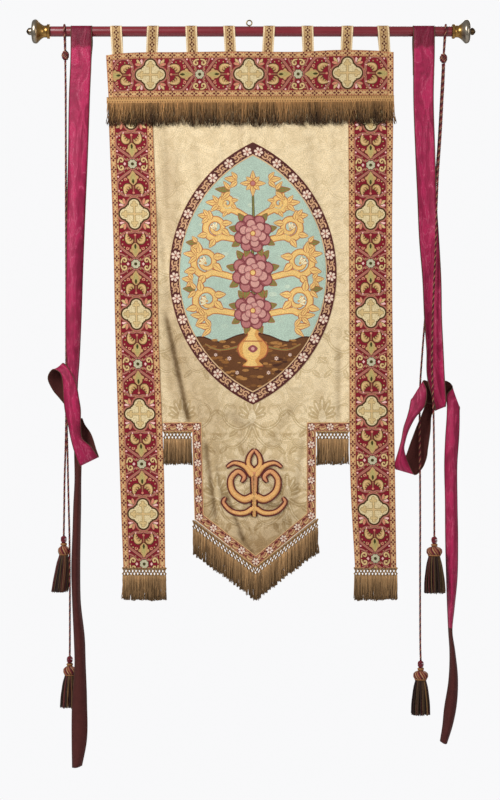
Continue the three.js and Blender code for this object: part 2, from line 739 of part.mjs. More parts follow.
// The strip's skin: three points on its face and three on its lining at every row, with
// face and lining split along the same diagonals, so that neither cuts through the other
function addRibbon(name, ribbon) {
  const rows = ribbonRows(ribbon).map((row) => [
    new THREE.Vector3(row.ax, row.ya, row.az),
    new THREE.Vector3((row.ax + row.bx) / 2, row.ym, (row.az + row.bz) / 2),
    new THREE.Vector3(row.bx, row.yb, row.bz),
  ]);
  const last = rows.length - 1;
  const rings = rows.map((row, i) => {
    const before = rows[Math.max(0, i - 1)];
    const after = rows[Math.min(last, i + 1)];
    const face = [];
    const lining = [];
    for (const [k, point] of row.entries()) {
      const way = after[k].clone().sub(before[k]);
      const across = row[Math.min(2, k + 1)].clone().sub(row[Math.max(0, k - 1)]);
      const out = way.cross(across).normalize().multiplyScalar(RIBBON.cloth / 2);
      face.push(point.clone().add(out).toArray());
      lining.unshift(point.clone().sub(out).toArray());
    }
    return [...face, ...lining].reverse();
  });
  add(name, toSolid(loft(rings, rings[0].length / 2)), MATERIAL.silk);
}

// Cords: routes of both pairs, from the knot under the pole down to the tassel
const CORD_COLUMNS = ['x', 'y', 'z'];
const CORDS = {
  cord_left_short: table(CORD_COLUMNS, [
    [-515, 3.6, -105.5], [-515, 3.6, -115], [-515, 3.6, -137], [-514, 3.6, -188],
    [-514, 3.6, -272], [-514, 3.6, -356], [-514, 3.6, -468], [-513.5, 3.6, -580],
    [-513, 3.6, -706], [-513, 3.6, -832], [-513, 3.6, -949], [-513, 3.6, -1042],
    [-513.5, 3.6, -1126], [-515, 3.6, -1196], [-517.5, 3.6, -1280], [-518.5, 3.6, -1358],
    [-519.7, 3.6, -1436],
  ]),
  cord_left_long: table(CORD_COLUMNS, [
    [-515, -3.6, -105.5], [-515, -3.6, -115], [-514.5, -3.6, -137], [-514, -3.6, -188],
    [-513.5, -3.6, -272], [-513, -3.6, -356], [-512.5, -3.6, -468], [-512.5, -3.6, -580],
    [-512, -3.6, -706], [-512, -3.6, -832], [-512, -3.6, -949], [-511.5, -3.6, -1042],
    [-510.5, -3.6, -1126], [-508.5, -3.6, -1207], [-507, -3.6, -1280], [-505, -3.6, -1364],
    [-503, -3.6, -1450], [-502, -3.6, -1565], [-502, -3.6, -1658], [-502, -3.6, -1728],
    [-502.3, -3.6, -1772],
  ]),
  cord_right_short: table(CORD_COLUMNS, [
    [545.7, -3.6, -113.5], [545, -4.2, -131], [543, -8, -174], [540, -11, -221],
    [537, -14, -277], [533, -17.5, -337], [529.5, -20, -384], [526.5, -22, -426],
    [524, -24, -482], [522, -25, -529], [521, -25.5, -580], [518, -26, -666],
    [514, -26.5, -753], [511, -27, -837], [509.5, -27, -944], [511, -27, -1014],
    [513.5, -27, -1086], [515, -27, -1196], [515.5, -27, -1336], [515.8, -27, -1436],
  ]),
  cord_right_long: table(CORD_COLUMNS, [
    [541.8, 3.6, -113.5], [541.5, 3.6, -131], [539, 3.8, -174], [536.5, 4, -221],
    [533.5, 4, -277], [530, 4.2, -337], [525.5, 4.4, -398], [521, 4.6, -468],
    [515, 5, -552], [508.5, 5.4, -636], [501.5, 5.8, -720], [495, 6.2, -798],
    [489.5, 6.6, -864], [483.5, 7, -944], [479, 7, -1014], [477.5, 7, -1098],
    [477.7, 6.5, -1168], [478.5, 5.5, -1254], [479, 6, -1392], [478.8, 7, -1560],
    [479.2, 7, -1728], [480.5, 7, -1786],
  ]),
};

function addCord(name, rows) {
  const route = new THREE.CatmullRomCurve3(rows.map((row) => new THREE.Vector3(row.x, row.y, row.z)));
  const section = new THREE.Shape();
  for (let i = 0; i < CORD.sides; i += 1) {
    const angle = (2 * Math.PI * i) / CORD.sides;
    const point = [CORD.radius * Math.cos(angle), CORD.radius * Math.sin(angle)];
    if (i === 0) {
      section.moveTo(...point);
    } else {
      section.lineTo(...point);
    }
  }
  const count = Math.round(route.getLength() / CORD.step);
  const tube = new THREE.ExtrudeGeometry(section, { extrudePath: route, steps: count, bevelEnabled: false });
  add(name, toSolid(tube), MATERIAL.cord);
}

// The doubled end of each pair: a loop over the pole, drawn tight by a round knot
const KNOT = { wide: 9.8, tall: 13.5, lumps: 0.07, round: 9, high: 6 };
const LOOP = {
  clearance: 1.1, wrapPast: 0.4, wrapSteps: 7, legOut: 3.5, legRise: 2, shoulderOut: 8, shoulderRise: 22,
};
const CORD_LOOPS = table(['name', 'x', 'knotX', 'knotZ'], [
  ['cord_loop_left', -517.4, -515, -91],
  ['cord_loop_right', 550, 543.8, -99],
]);

function addCordLoop(row) {
  const reach = POLE.radius + LOOP.clearance + CORD.radius;
  const rings = [];
  const leg = row.knotZ + LOOP.legRise;
  const shoulder = row.knotZ + LOOP.shoulderRise;
  const stops = [
    [LOOP.legOut, leg],
    [LOOP.shoulderOut, shoulder],
    ...arc(reach, -LOOP.wrapPast, Math.PI + LOOP.wrapPast, LOOP.wrapSteps),
    [-LOOP.shoulderOut, shoulder],
    [-LOOP.legOut, leg],
  ];
  for (const [i, [y, z]] of stops.entries()) {
    const before = stops[Math.max(0, i - 1)];
    const after = stops[Math.min(stops.length - 1, i + 1)];
    const length = Math.hypot(after[0] - before[0], after[1] - before[1]);
    const out = [-(after[1] - before[1]) / length, (after[0] - before[0]) / length];
    const x = row.knotX + ((row.x - row.knotX) * (z - row.knotZ)) / (POLE.z + reach - row.knotZ);
    const ring = [];
    for (let s = 0; s < CORD.sides; s += 1) {
      const angle = (2 * Math.PI * s) / CORD.sides;
      const side = CORD.radius * Math.cos(angle);
      const rise = CORD.radius * Math.sin(angle);
      ring.unshift([x + side, y + out[0] * rise, z + out[1] * rise]);
    }
    rings.push(ring);
  }
  const knot = new THREE.SphereGeometry(1, KNOT.round, KNOT.high);
  const place = knot.attributes.position;
  for (let i = 0; i < place.count; i += 1) {
    const lump = 1 + KNOT.lumps * Math.sin(5 * place.getY(i) + 3 * Math.atan2(place.getX(i), place.getZ(i)));
    const spread = Math.abs(place.getY(i)) > 0.99 ? 1 : lump;
    place.setXYZ(
      i,
      row.knotX + KNOT.wide * spread * place.getX(i),
      KNOT.wide * spread * place.getZ(i),
      row.knotZ - KNOT.tall * place.getY(i),
    );
  }
  add(row.name, toSolid(loft(rings)).add(toSolid(knot)), MATERIAL.cord);
}

// Tassels: a ball knot, a tight ring, a turban head and a skirt of locks
const TASSELS = table(['name', 'x', 'y', 'top', 'length', 'radius', 'lean', 'head'], [
  ['tassel_left_short', -519.7, 3.6, -1436.4, 156, 24.5, -11, 1],
  ['tassel_left_long', -502.3, -3.6, -1772.4, 142, 28, -1, 1.12],
  ['tassel_right_short', 515.8, -27, -1436.4, 157, 31, 2, 1.35],
  ['tassel_right_long', 480.5, 7, -1786.4, 151, 28.5, 0, 1.28],
]);
const TASSEL_HEAD = table(['down', 'radius'], [
  [0, 0],
  [0, 5],
  [6, 8.6],
  [14, 8.4],
  [19, 5.5],
  [23, 9.5],
  [28, 7],
  [34, 15],
  [44, 15.5],
  [52, 13],
  [52, 0],
]);
const HEAD_FROM = 30;
const SKIRT = {
  locks: 11, sides: 9, rootDown: 50, rootRadius: 10, neck: 0.65, neckAt: 0.3, fill: 0.8, thick: 2.5, cut: 1.5,
};

function addTassel(row) {
  const wider = (step) => (step.down > HEAD_FROM ? row.head : 1);
  const profile = TASSEL_HEAD.map((step) => new THREE.Vector2(step.radius * wider(step), -step.down));
  const turned = new THREE.LatheGeometry(profile.reverse(), SKIRT.sides);
  turned.rotateX(Math.PI / 2);
  turned.translate(row.x, row.y, row.top - GAP);
  let tassel = toSolid(turned);
  for (let i = 0; i < SKIRT.locks; i += 1) {
    const angle = (2 * Math.PI * i) / SKIRT.locks;
    const stops = [
      [0, SKIRT.rootRadius * row.head],
      [SKIRT.neckAt, row.radius * SKIRT.neck],
      [1, row.radius - SKIRT.thick],
    ];
    const rings = stops.map(([t, radius]) => {
      const down = SKIRT.rootDown + (row.length - SKIRT.rootDown + SKIRT.cut * uneven(i)) * t;
      const half = (Math.PI * radius * SKIRT.fill) / SKIRT.locks;
      const ring = [];
      for (const [side, out] of [[-1, 0.5], [1, 0.5], [0, -1]]) {
        const reach = radius + out * Math.min(SKIRT.thick, half);
        ring.push([
          row.x + row.lean * t + reach * Math.cos(angle) - side * half * Math.sin(angle),
          row.y + reach * Math.sin(angle) + side * half * Math.cos(angle),
          row.top - GAP - down,
        ]);
      }
      return ring.reverse();
    });
    tassel = tassel.add(toSolid(loft(rings)));
  }
  add(row.name, tassel, MATERIAL.tassel);
}

addPole();
addFinial('finial_left', POLE.left - FINIAL.gap, -1);
addFinial('finial_right', POLE.right + FINIAL.gap, 1);
addEye();
TABS.forEach((tab, i) => addTab(`tab_${i + 1}`, tab.x, tab.slant));
addHeader();
addHeaderFringe();
addPanel();
addBand('side_band_left', LEFT_BAND);
addBand('side_band_right', RIGHT_BAND);
addMandorla();
addLowerBraid();
addEmblem();
addNetFringes();
addRibbon('ribbon_left', RIBBON_LEFT);
addRibbon('ribbon_right', RIBBON_RIGHT);
CORD_LOOPS.forEach(addCordLoop);
for (const [name, rows] of Object.entries(CORDS)) {
  addCord(name, rows);
}
TASSELS.forEach(addTassel);

export default banner;
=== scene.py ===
# Frame: the banner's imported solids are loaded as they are. Each section below then makes
# one group of its pieces, in the order in which the banner is put together. Sizes are in
# millimetres, with the origin at the screw eye, X to the right, Z up and the front at -Y.
import math
import random

import bpy
import numpy as np
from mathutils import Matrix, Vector, geometry


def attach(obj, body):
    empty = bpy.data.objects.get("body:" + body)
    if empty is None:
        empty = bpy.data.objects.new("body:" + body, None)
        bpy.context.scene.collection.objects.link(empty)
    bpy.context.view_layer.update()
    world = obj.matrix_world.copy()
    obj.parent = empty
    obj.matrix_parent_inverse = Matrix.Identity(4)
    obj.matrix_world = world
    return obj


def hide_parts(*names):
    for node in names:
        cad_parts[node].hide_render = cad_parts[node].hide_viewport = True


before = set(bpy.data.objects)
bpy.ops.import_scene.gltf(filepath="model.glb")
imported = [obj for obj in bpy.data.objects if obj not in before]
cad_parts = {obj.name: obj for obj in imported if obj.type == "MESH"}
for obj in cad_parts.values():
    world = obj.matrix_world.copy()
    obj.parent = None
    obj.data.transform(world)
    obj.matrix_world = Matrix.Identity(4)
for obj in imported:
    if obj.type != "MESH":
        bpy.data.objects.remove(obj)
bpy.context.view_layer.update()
bpy.ops.object.select_all(action="DESELECT")
scene = bpy.context.scene
MM = 0.001


# Camera: square to the front, far enough away for the banner to look flat, with the height
# of the view at the cloth set from the frame of 500 by 800 at 2.8 mm to each pixel.
PIXEL = 2.8
VIEW_HIGH = 800 * PIXEL
VIEW_CENTRE = (2, -1055.6)
CAMERA_AWAY = 6000
SENSOR = 36

camera_data = bpy.data.cameras.new("camera")
camera_data.sensor_width = SENSOR
camera_data.lens = SENSOR * CAMERA_AWAY / VIEW_HIGH
camera = bpy.data.objects.new("camera", camera_data)
camera.location = Vector((VIEW_CENTRE[0], -CAMERA_AWAY, VIEW_CENTRE[1])) * MM
camera.rotation_euler = (math.radians(90), 0, 0)
scene.collection.objects.link(camera)
scene.camera = camera


# Room: two broad soft lights from the front, a weaker one from behind, pale surroundings
# and a plain pale floor well below the banner, which hangs from its eye.
def srgb(red, green, blue):
    parts = []
    for part in (red, green, blue):
        part /= 255
        parts.append(part / 12.92 if part <= 0.04045 else ((part + 0.055) / 1.055) ** 2.4)
    return (*parts, 1.0)


LIGHTS = (
    # name, place in metres, size in metres, watts
    ("key", (-2.4, -2.8, 1.4), 1.4, 165),
    ("fill", (3.4, -3.8, -0.2), 2.6, 58),
    ("back", (1.5, 3.6, 0.8), 2.4, 80),
)
LOOK_AT = Vector((0, 0, -0.9))
for name, place, size, watts in LIGHTS:
    bpy.ops.object.light_add(type="AREA", location=place)
    light = bpy.context.object
    light.name = name
    light.data.size = size
    light.data.energy = watts
    light.rotation_euler = (LOOK_AT - Vector(place)).to_track_quat("-Z", "Y").to_euler()

WALL_SEEN = 0.98
WALL_LIGHT = 0.34
world = bpy.data.worlds.new("pale")
scene.world = world
world.use_nodes = True
scene.view_settings.view_transform = "Standard"


def put(tree, kind, options=None, **inputs):
    made = tree.nodes.new(kind)
    for key, value in (options or {}).items():
        setattr(made, key, value)
    for key, value in inputs.items():
        socket = made.inputs[int(key[1:])] if key[0] == "_" else made.inputs[key.replace("_", " ")]
        if isinstance(value, bpy.types.NodeSocket):
            tree.links.new(value, socket)
        else:
            socket.default_value = value
    return made


def blend(tree, share, first, second, kind="MIX"):
    """Two colours mixed by a share, or the second one multiplied into the first by it."""
    options = {"data_type": "RGBA", "blend_type": kind}
    return put(tree, "ShaderNodeMix", options, _0=share, _6=first, _7=second).outputs[2]


def reckon(tree, kind, *values, clamp=False):
    """The result of one sum on up to three values."""
    inputs = {"_%d" % k: value for k, value in enumerate(values)}
    return put(tree, "ShaderNodeMath", {"operation": kind, "use_clamp": clamp}, **inputs).outputs[0]


def feed(tree, node, **sockets):
    for key, socket in sockets.items():
        tree.links.new(socket, node.inputs[key.replace("_", " ")])


pale = world.node_tree.nodes["Background"]
pale.inputs["Color"].default_value = srgb(251, 251, 252)
path = put(world.node_tree, "ShaderNodeLightPath")
seen_by_camera = path.outputs["Is Camera Ray"]
level = reckon(world.node_tree, "MULTIPLY_ADD", seen_by_camera, WALL_SEEN - WALL_LIGHT, WALL_LIGHT)
feed(world.node_tree, pale, Strength=level)


def new_material(name, roughness, **plain):
    made = bpy.data.materials.new(name)
    made.use_nodes = True
    shader = made.node_tree.nodes["Principled BSDF"]
    shader.inputs["Roughness"].default_value = roughness
    for key, value in plain.items():
        shader.inputs[key.replace("_", " ")].default_value = value
    return made, made.node_tree, shader


FLOOR_Z = -2.9
bpy.ops.mesh.primitive_plane_add(size=1, location=(0, 0, FLOOR_Z))
floor = bpy.context.object
floor.name = "floor"
floor.scale = (7, 5, 1)
floor_material, tree, shader = new_material("floor_paint", 0.8)
grain = put(tree, "ShaderNodeTexNoise", Scale=3.0, Detail=2.0)
tone = blend(tree, grain.outputs["Fac"], srgb(236, 236, 238), srgb(228, 228, 231))
feed(tree, shader, Base_Color=tone)
floor.data.materials.append(floor_material)


# Cords: two pairs of three-strand twisted cord, 6 mm thick, crimson and near-black with one
# strand of tan gold. Each hangs from the knot of its loop and ends inside its tassel.
def table(columns, *rows):
    names = columns.split()
    return [dict(zip(names, row)) for row in rows]


def smooth_line(points, step):
    """Points along one smooth curve through the given ones, about a step apart."""
    given = np.array(points, float)
    padded = np.vstack([2 * given[0] - given[1], given, 2 * given[-1] - given[-2]])
    line = []
    for i in range(len(given) - 1):
        p0, p1, p2, p3 = padded[i:i + 4]
        count = max(1, int(round(np.linalg.norm(p2 - p1) / step)))
        for t in np.arange(count) / count:
            line.append(0.5 * (2 * p1 + (p2 - p0) * t + (2 * p0 - 5 * p1 + 4 * p2 - p3) * t ** 2
                               + (3 * p1 - p0 - 3 * p2 + p3) * t ** 3))
    return np.vstack([line, given[-1]])


def distances(line):
    """How far along a line each of its points is."""
    return np.concatenate([[0], np.cumsum(np.linalg.norm(np.diff(line, axis=0), axis=1))])


def directions(line):
    way = np.gradient(line, axis=0)
    way /= np.linalg.norm(way, axis=1)[:, None]
    return way


def frames(line, across):
    """Unit vectors along a line and two square to it, the first as square to across as can be."""
    way = directions(line)
    side = np.cross(way, across)
    side /= np.linalg.norm(side, axis=1)[:, None]
    return way, side, np.cross(way, side)


def keep_piece(piece, slot, *nodes):
    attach(piece, "root")
    if nodes:
        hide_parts(*nodes)
    return piece


def new_piece(name, points, faces, material, uv=None, dye=None):
    """A mesh from points in millimetres. uv and dye hold one row for each point."""
    mesh = bpy.data.meshes.new(name)
    mesh.from_pydata((np.asarray(points) * MM).tolist(), [], faces)
    mesh.materials.append(material)
    mesh.shade_smooth()
    corners = np.empty(len(mesh.loops), int)
    mesh.loops.foreach_get("vertex_index", corners)
    if uv is not None:
        layer = mesh.uv_layers.new(name="cloth")
        layer.uv.foreach_set("vector", (np.asarray(uv) * MM)[corners].ravel().astype(np.float32))
    if dye is not None:
        colour = mesh.color_attributes.new(name="dye", type="FLOAT_COLOR", domain="CORNER")
        colour.data.foreach_set("color", np.asarray(dye)[corners].ravel().astype(np.float32))
    piece = bpy.data.objects.new(name, mesh)
    scene.collection.objects.link(piece)
    return piece


def strands(name, lines, radii, dyes, sides, material, across=(0, 1, 0)):
    """Many thin strands as one mesh. A radius and a dye are one value or one for each point."""
    points, faces, uv, dye = [], [], [], []
    turn = 2 * math.pi * np.arange(sides) / sides
    if not isinstance(across, list):
        across = [across] * len(lines)
    for line, radius, colour, beside in zip(lines, radii, dyes, across):
        line = np.asarray(line, float)
        count = len(line)
        way, side, up = frames(line, beside)
        size = np.broadcast_to(np.asarray(radius, float), (count,))[:, None, None]
        ring = side[:, None] * np.cos(turn)[None, :, None] + up[:, None] * np.sin(turn)[None, :, None]
        start = len(points)
        points.extend((line[:, None] + ring * size).reshape(-1, 3))
        run = distances(line)
        uv.extend(np.stack(np.meshgrid(np.arange(sides), run), -1).reshape(-1, 2))
        dye.extend(np.repeat(np.broadcast_to(np.asarray(colour, float), (count, 4)), sides, axis=0))
        for i in range(count - 1):
            for s in range(sides):
                a = start + i * sides + s
                b = start + i * sides + (s + 1) % sides
                faces.append((a, b, b + sides, a + sides))
        faces.append(tuple(start + s for s in reversed(range(sides))))
        faces.append(tuple(start + (count - 1) * sides + s for s in range(sides)))
    return new_piece(name, points, faces, material, uv, dye)


def noise(tree, place, scale, detail, **more):
    return put(tree, "ShaderNodeTexNoise", Vector=place, Scale=scale, Detail=detail, **more).outputs["Fac"]


def ranged(tree, value, low, high, start=0.0, end=1.0):
    """A value carried over from its range start to end into the range low to high."""
    made = put(tree, "ShaderNodeMapRange", Value=value, From_Min=start, From_Max=end, To_Min=low, To_Max=high)
    return made.outputs["Result"]


def yarn_material(name, roughness, fuzz):
    made, tree, shader = new_material(name, roughness, Sheen_Weight=fuzz, Sheen_Roughness=0.5,
                                      Specular_IOR_Level=0.2)
    dye = put(tree, "ShaderNodeVertexColor", {"layer_name": "dye"})
    place = put(tree, "ShaderNodeTexCoord")
    grain = noise(tree, place.outputs["Object"], 700.0, 2.0)
    colour = put(tree, "ShaderNodeVectorMath", {"operation": "SCALE"}, _0=dye.outputs["Color"],
                 Scale=ranged(tree, grain, 0.7, 1.25))
    bump = put(tree, "ShaderNodeBump", Height=grain, Strength=0.35, Distance=0.0006)
    feed(tree, shader, Base_Color=colour.outputs["Vector"], Normal=bump.outputs["Normal"])
    return made


CORD = {"radius": 3.0, "lay": 19.0, "step": 2.2, "into_tassel": 46}
CORD_DYES = (srgb(112, 24, 38), srgb(58, 20, 24), srgb(150, 104, 80))
CORDS = {
    "left_short": (
        (-515, 3.6, -105.5), (-515, 3.6, -115), (-515, 3.6, -137), (-514, 3.6, -188),
        (-514, 3.6, -272), (-514, 3.6, -356), (-514, 3.6, -468), (-513.5, 3.6, -580),
        (-513, 3.6, -706), (-513, 3.6, -832), (-513, 3.6, -949), (-513, 3.6, -1042),
        (-513.5, 3.6, -1126), (-515, 3.6, -1196), (-517.5, 3.6, -1280), (-518.5, 3.6, -1358),
        (-519.7, 3.6, -1436),
    ),
    "left_long": (
        (-515, -3.6, -105.5), (-515, -3.6, -115), (-514.5, -3.6, -137), (-514, -3.6, -188),
        (-513.5, -3.6, -272), (-513, -3.6, -356), (-512.5, -3.6, -468), (-512.5, -3.6, -580),
        (-512, -3.6, -706), (-512, -3.6, -832), (-512, -3.6, -949), (-511.5, -3.6, -1042),
        (-510.5, -3.6, -1126), (-508.5, -3.6, -1207), (-507, -3.6, -1280), (-505, -3.6, -1364),
        (-503, -3.6, -1450), (-502, -3.6, -1565), (-502, -3.6, -1658), (-502, -3.6, -1728),
        (-502.3, -3.6, -1772),
    ),
    "right_short": (
        (545.7, -3.6, -113.5), (545, -4.2, -131), (543, -8, -174), (540, -11, -221),
        (537, -14, -277), (533, -17.5, -337), (529.5, -20, -384), (526.5, -22, -426),
        (524, -24, -482), (522, -25, -529), (521, -25.5, -580), (518, -26, -666),
        (514, -26.5, -753), (511, -27, -837), (509.5, -27, -944), (511, -27, -1014),
        (513.5, -27, -1086), (515, -27, -1196), (515.5, -27, -1336), (515.8, -27, -1436),
    ),
    "right_long": (
        (541.8, 3.6, -113.5), (541.5, 3.6, -131), (539, 3.8, -174), (536.5, 4, -221),
        (533.5, 4, -277), (530, 4.2, -337), (525.5, 4.4, -398), (521, 4.6, -468),
        (515, 5, -552), (508.5, 5.4, -636), (501.5, 5.8, -720), (495, 6.2, -798),
        (489.5, 6.6, -864), (483.5, 7, -944), (479, 7, -1014), (477.5, 7, -1098),
        (477.7, 6.5, -1168), (478.5, 5.5, -1254), (479, 6, -1392), (478.8, 7, -1560),
        (479.2, 7, -1728), (480.5, 7, -1786),
    ),
}
cord_yarn = yarn_material("cord_yarn", 0.62, 0.05)
cord_lines = {}
for name, route in CORDS.items():
    end = np.array(route[-1], float)
    line = smooth_line([*route, tuple(end - (0, 0, CORD["into_tassel"]))], CORD["step"])
    cord_lines[name] = line
    way, side, up = frames(line, (0, 1, 0))
    run = distances(line)
    ply = CORD["radius"] * 0.464
    plies = []
    for k in range(len(CORD_DYES)):
        angle = (2 * math.pi * (run / CORD["lay"] + k / len(CORD_DYES)))[:, None]
        plies.append(line + (CORD["radius"] - ply) * (side * np.cos(angle) + up * np.sin(angle)))
    cord = strands("twisted_" + name, plies, [ply] * 3, CORD_DYES, 6, cord_yarn)
    keep_piece(cord, "twisted_cord", "cord_" + name)


# Pole and ends: a turned pole in dark red lacquer with softly rounded ends, and at each end
# a brass collar and neck, a pale polished disc and a small dark knob. A screw eye carries all.
def start_piece(name):
    made = bpy.context.object
    made.name = name
    made.data.name = name
    return made


def select_only(piece):
    bpy.ops.object.select_all(action="DESELECT")
    bpy.context.view_layer.objects.active = piece
    piece.select_set(True)


def apply_modifiers(piece):
    select_only(piece)
    for modifier in list(piece.modifiers):
        bpy.ops.object.modifier_apply(modifier=modifier.name)


def apply_place(piece):
    select_only(piece)
    bpy.ops.object.transform_apply(location=True, rotation=True, scale=True)


def smooth_by_angle(piece, degrees):
    select_only(piece)
    bpy.ops.object.shade_smooth_by_angle(angle=math.radians(degrees))


def weld(piece):
    """Merges the points that meet and turns every face outwards."""
    select_only(piece)
    bpy.ops.object.mode_set(mode="EDIT")
    bpy.ops.mesh.select_all(action="SELECT")
    bpy.ops.mesh.remove_doubles(threshold=1e-6)
    bpy.ops.mesh.normals_make_consistent(inside=False)
    bpy.ops.object.mode_set(mode="OBJECT")


def spin_profile(name, profile, middle, out, material, sides=64):
    """A turned form: the profile gives how far out along X and the radius."""
    mesh = bpy.data.meshes.new(name)
    centre = tuple(c * MM for c in middle)
    rows = [((middle[0] + out * far) * MM, centre[1], (middle[2] + radius) * MM) for far, radius in profile]
    mesh.from_pydata(rows, [(i, i + 1) for i in range(len(rows) - 1)], [])
    piece = bpy.data.objects.new(name, mesh)
    scene.collection.objects.link(piece)
    select_only(piece)
    bpy.ops.object.mode_set(mode="EDIT")
    bpy.ops.mesh.select_all(action="SELECT")
    bpy.ops.mesh.spin(steps=sides, angle=2 * math.pi, center=centre, axis=(1, 0, 0))
    bpy.ops.object.mode_set(mode="OBJECT")
    weld(piece)
    mesh.materials.append(material)
    smooth_by_angle(piece, 32)
    return piece


POLE = {"radius": 14.3, "left": -557.5, "right": 567.3, "z": -23.8, "sides": 96, "round": 1.5}
lacquer, tree, shader = new_material("lacquer", 0.34, Coat_Weight=0.25, Coat_Roughness=0.2)
place = put(tree, "ShaderNodeTexCoord").outputs["Object"]
run_along = put(tree, "ShaderNodeMapping", Vector=place, Scale=(3.0, 60.0, 60.0))
grain = noise(tree, run_along.outputs["Vector"], 3.0, 6.0)
bump = put(tree, "ShaderNodeBump", Height=grain, Strength=0.2, Distance=0.0004)
feed(tree, shader, Base_Color=blend(tree, grain, srgb(92, 16, 24), srgb(134, 34, 44)),
     Roughness=ranged(tree, noise(tree, place, 34.0, 3.0), 0.22, 0.5), Normal=bump.outputs["Normal"])

bpy.ops.mesh.primitive_cylinder_add(
    vertices=POLE["sides"], radius=POLE["radius"] * MM, depth=(POLE["right"] - POLE["left"]) * MM,
    location=((POLE["left"] + POLE["right"]) / 2 * MM, 0, POLE["z"] * MM), rotation=(0, math.radians(90), 0))
pole = start_piece("turned_pole")
apply_place(pole)
edge = pole.modifiers.new("edge", "BEVEL")
edge.width = POLE["round"] * MM
edge.segments = 3
apply_modifiers(pole)
smooth_by_angle(pole, 35)
pole.data.materials.append(lacquer)
keep_piece(pole, "lacquered_wood", "pole")

END_PROFILE = (
    (0, 0), (0, 19), (0.8, 20), (7, 20.5), (7.8, 19.8), (8.6, 17.6), (10, 17), (16, 16.6), (18, 17),
    (22, 19.2), (27, 23), (31, 27), (34, 30.4), (36, 32.2), (38.5, 33.3), (41, 33.5), (44, 33), (47, 31.4),
    (49, 29), (50, 26), (51, 20), (52, 13), (53, 10.6), (55, 10), (58, 10.2), (61, 9), (64, 5.5), (67, 0),
)
SILVER_AT = 37
KNOB_AT = 57.5
FADE = 4
brass, tree, shader = new_material("turned_brass", 0.3, Metallic=1.0)
place = put(tree, "ShaderNodeTexCoord").outputs["Object"]
apart = put(tree, "ShaderNodeSeparateXYZ", Vector=place)
far = reckon(tree, "ABSOLUTE", apart.outputs["X"])
tarnish = noise(tree, place, 90.0, 5.0, Distortion=0.6)
colour = blend(tree, tarnish, srgb(104, 70, 32), srgb(200, 156, 88))
for at, finish in ((SILVER_AT, srgb(158, 147, 130)), (KNOB_AT, srgb(84, 66, 46))):
    out = at - POLE["left"]
    reached = ranged(tree, far, 0.0, 1.0, (out - FADE) * MM, (out + FADE) * MM)
    colour = blend(tree, reached, colour, finish)
feed(tree, shader, Base_Color=colour, Roughness=ranged(tree, tarnish, 0.18, 0.42))
for side, start in ((-1, POLE["left"] - 0.3), (1, POLE["right"] + 0.3)):
    name = "left" if side < 0 else "right"
    end = spin_profile("end_" + name, END_PROFILE, (start, 0, POLE["z"]), side, brass)
    keep_piece(end, "turned_brass", "finial_" + name)

EYE = {"ring": 7.3, "wire": 1.8, "shank": 1.9, "foot": -30.1, "thread_from": -11.5, "thread": 1.6,
       "sides": 16}
wire, tree, shader = new_material("eye_wire", 0.4, Metallic=1.0)
place = put(tree, "ShaderNodeTexCoord").outputs["Object"]
worn = blend(tree, noise(tree, place, 300.0, 4.0), srgb(92, 76, 48), srgb(176, 152, 104))
feed(tree, shader, Base_Color=worn)
bpy.ops.mesh.primitive_torus_add(major_radius=EYE["ring"] * MM, minor_radius=EYE["wire"] * MM,
                                 major_segments=48, minor_segments=16, rotation=(math.radians(90), 0, 0))
eye = start_piece("screw_eye")
apply_place(eye)
rows = [(0.0, -EYE["ring"]), (EYE["shank"], -EYE["ring"])]
z = EYE["thread_from"]
while z > EYE["foot"] + EYE["thread"]:
    rows += [(EYE["shank"], z), (EYE["shank"] * 0.75, z - EYE["thread"] / 2)]
    z -= EYE["thread"]
rows.append((0.0, EYE["foot"]))
sides = EYE["sides"]
turn = 2 * math.pi * np.arange(sides) / sides
points = [(r * math.cos(a), r * math.sin(a), h) for r, h in rows for a in turn]
faces = []
for i in range(len(rows) - 1):
    for k in range(sides):
        a, b = i * sides + k, i * sides + (k + 1) % sides
        faces.append((a + sides, b + sides, b, a))
screw = new_piece("screw_shank", points, faces, wire)
weld(screw)
eye.data.materials.append(wire)
smooth_by_angle(eye, 60)
keep_piece(screw, "eye_metal")
keep_piece(eye, "eye_metal", "hanging_eye")


# Tabs: eight loops of narrow woven ribbon with a column of small crosses, passed over the pole
# and sewn behind the header. All cloth is cut flat, figured, and laid on the hanging surface.
def loop_through(points, per=6):
    """A smooth closed outline through a few points."""
    given = np.array(points, float)
    out = []
    for i in range(len(given)):
        p0, p1, p2, p3 = (given[(i + k - 1) % len(given)] for k in range(4))
        for t in np.arange(per) / per:
            out.append(0.5 * (2 * p1 + (p2 - p0) * t + (2 * p0 - 5 * p1 + 4 * p2 - p3) * t ** 2
                              + (3 * p1 - p0 - 3 * p2 + p3) * t ** 3))
    return [tuple(p) for p in out]


def disc(x, y, radius, sides=12, tall=1.0):
    return [(x + radius * math.cos(2 * math.pi * k / sides),
             y + tall * radius * math.sin(2 * math.pi * k / sides)) for k in range(sides)]


def box(x0, y0, x1, y1):
    return [(x0, y0), (x1, y0), (x1, y1), (x0, y1)]


def diamond(x, y, half_wide, half_tall):
    return [(x + half_wide, y), (x, y + half_tall), (x - half_wide, y), (x, y - half_tall)]


def stroke(points, start, end=None, middle=None, step=4.0):
    """The outline of a stroke along a smooth line, its half width going from start to end."""
    line = smooth_line(points, step)
    end = start if end is None else end
    t = np.linspace(0, 1, len(line))
    half = start + (end - start) * t
    if middle is not None:
        half = half + (middle - (start + end) / 2) * 4 * t * (1 - t)
    way = directions(line)
    side = np.stack([-way[:, 1], way[:, 0]], axis=1) * half[:, None]
    return [tuple(p) for p in np.vstack([line + side, (line - side)[::-1]])]


def mirrored(shapes, x=0.0):
    return [(colour, [(2 * x - px, py) for px, py in points][::-1]) for colour, points in shapes]


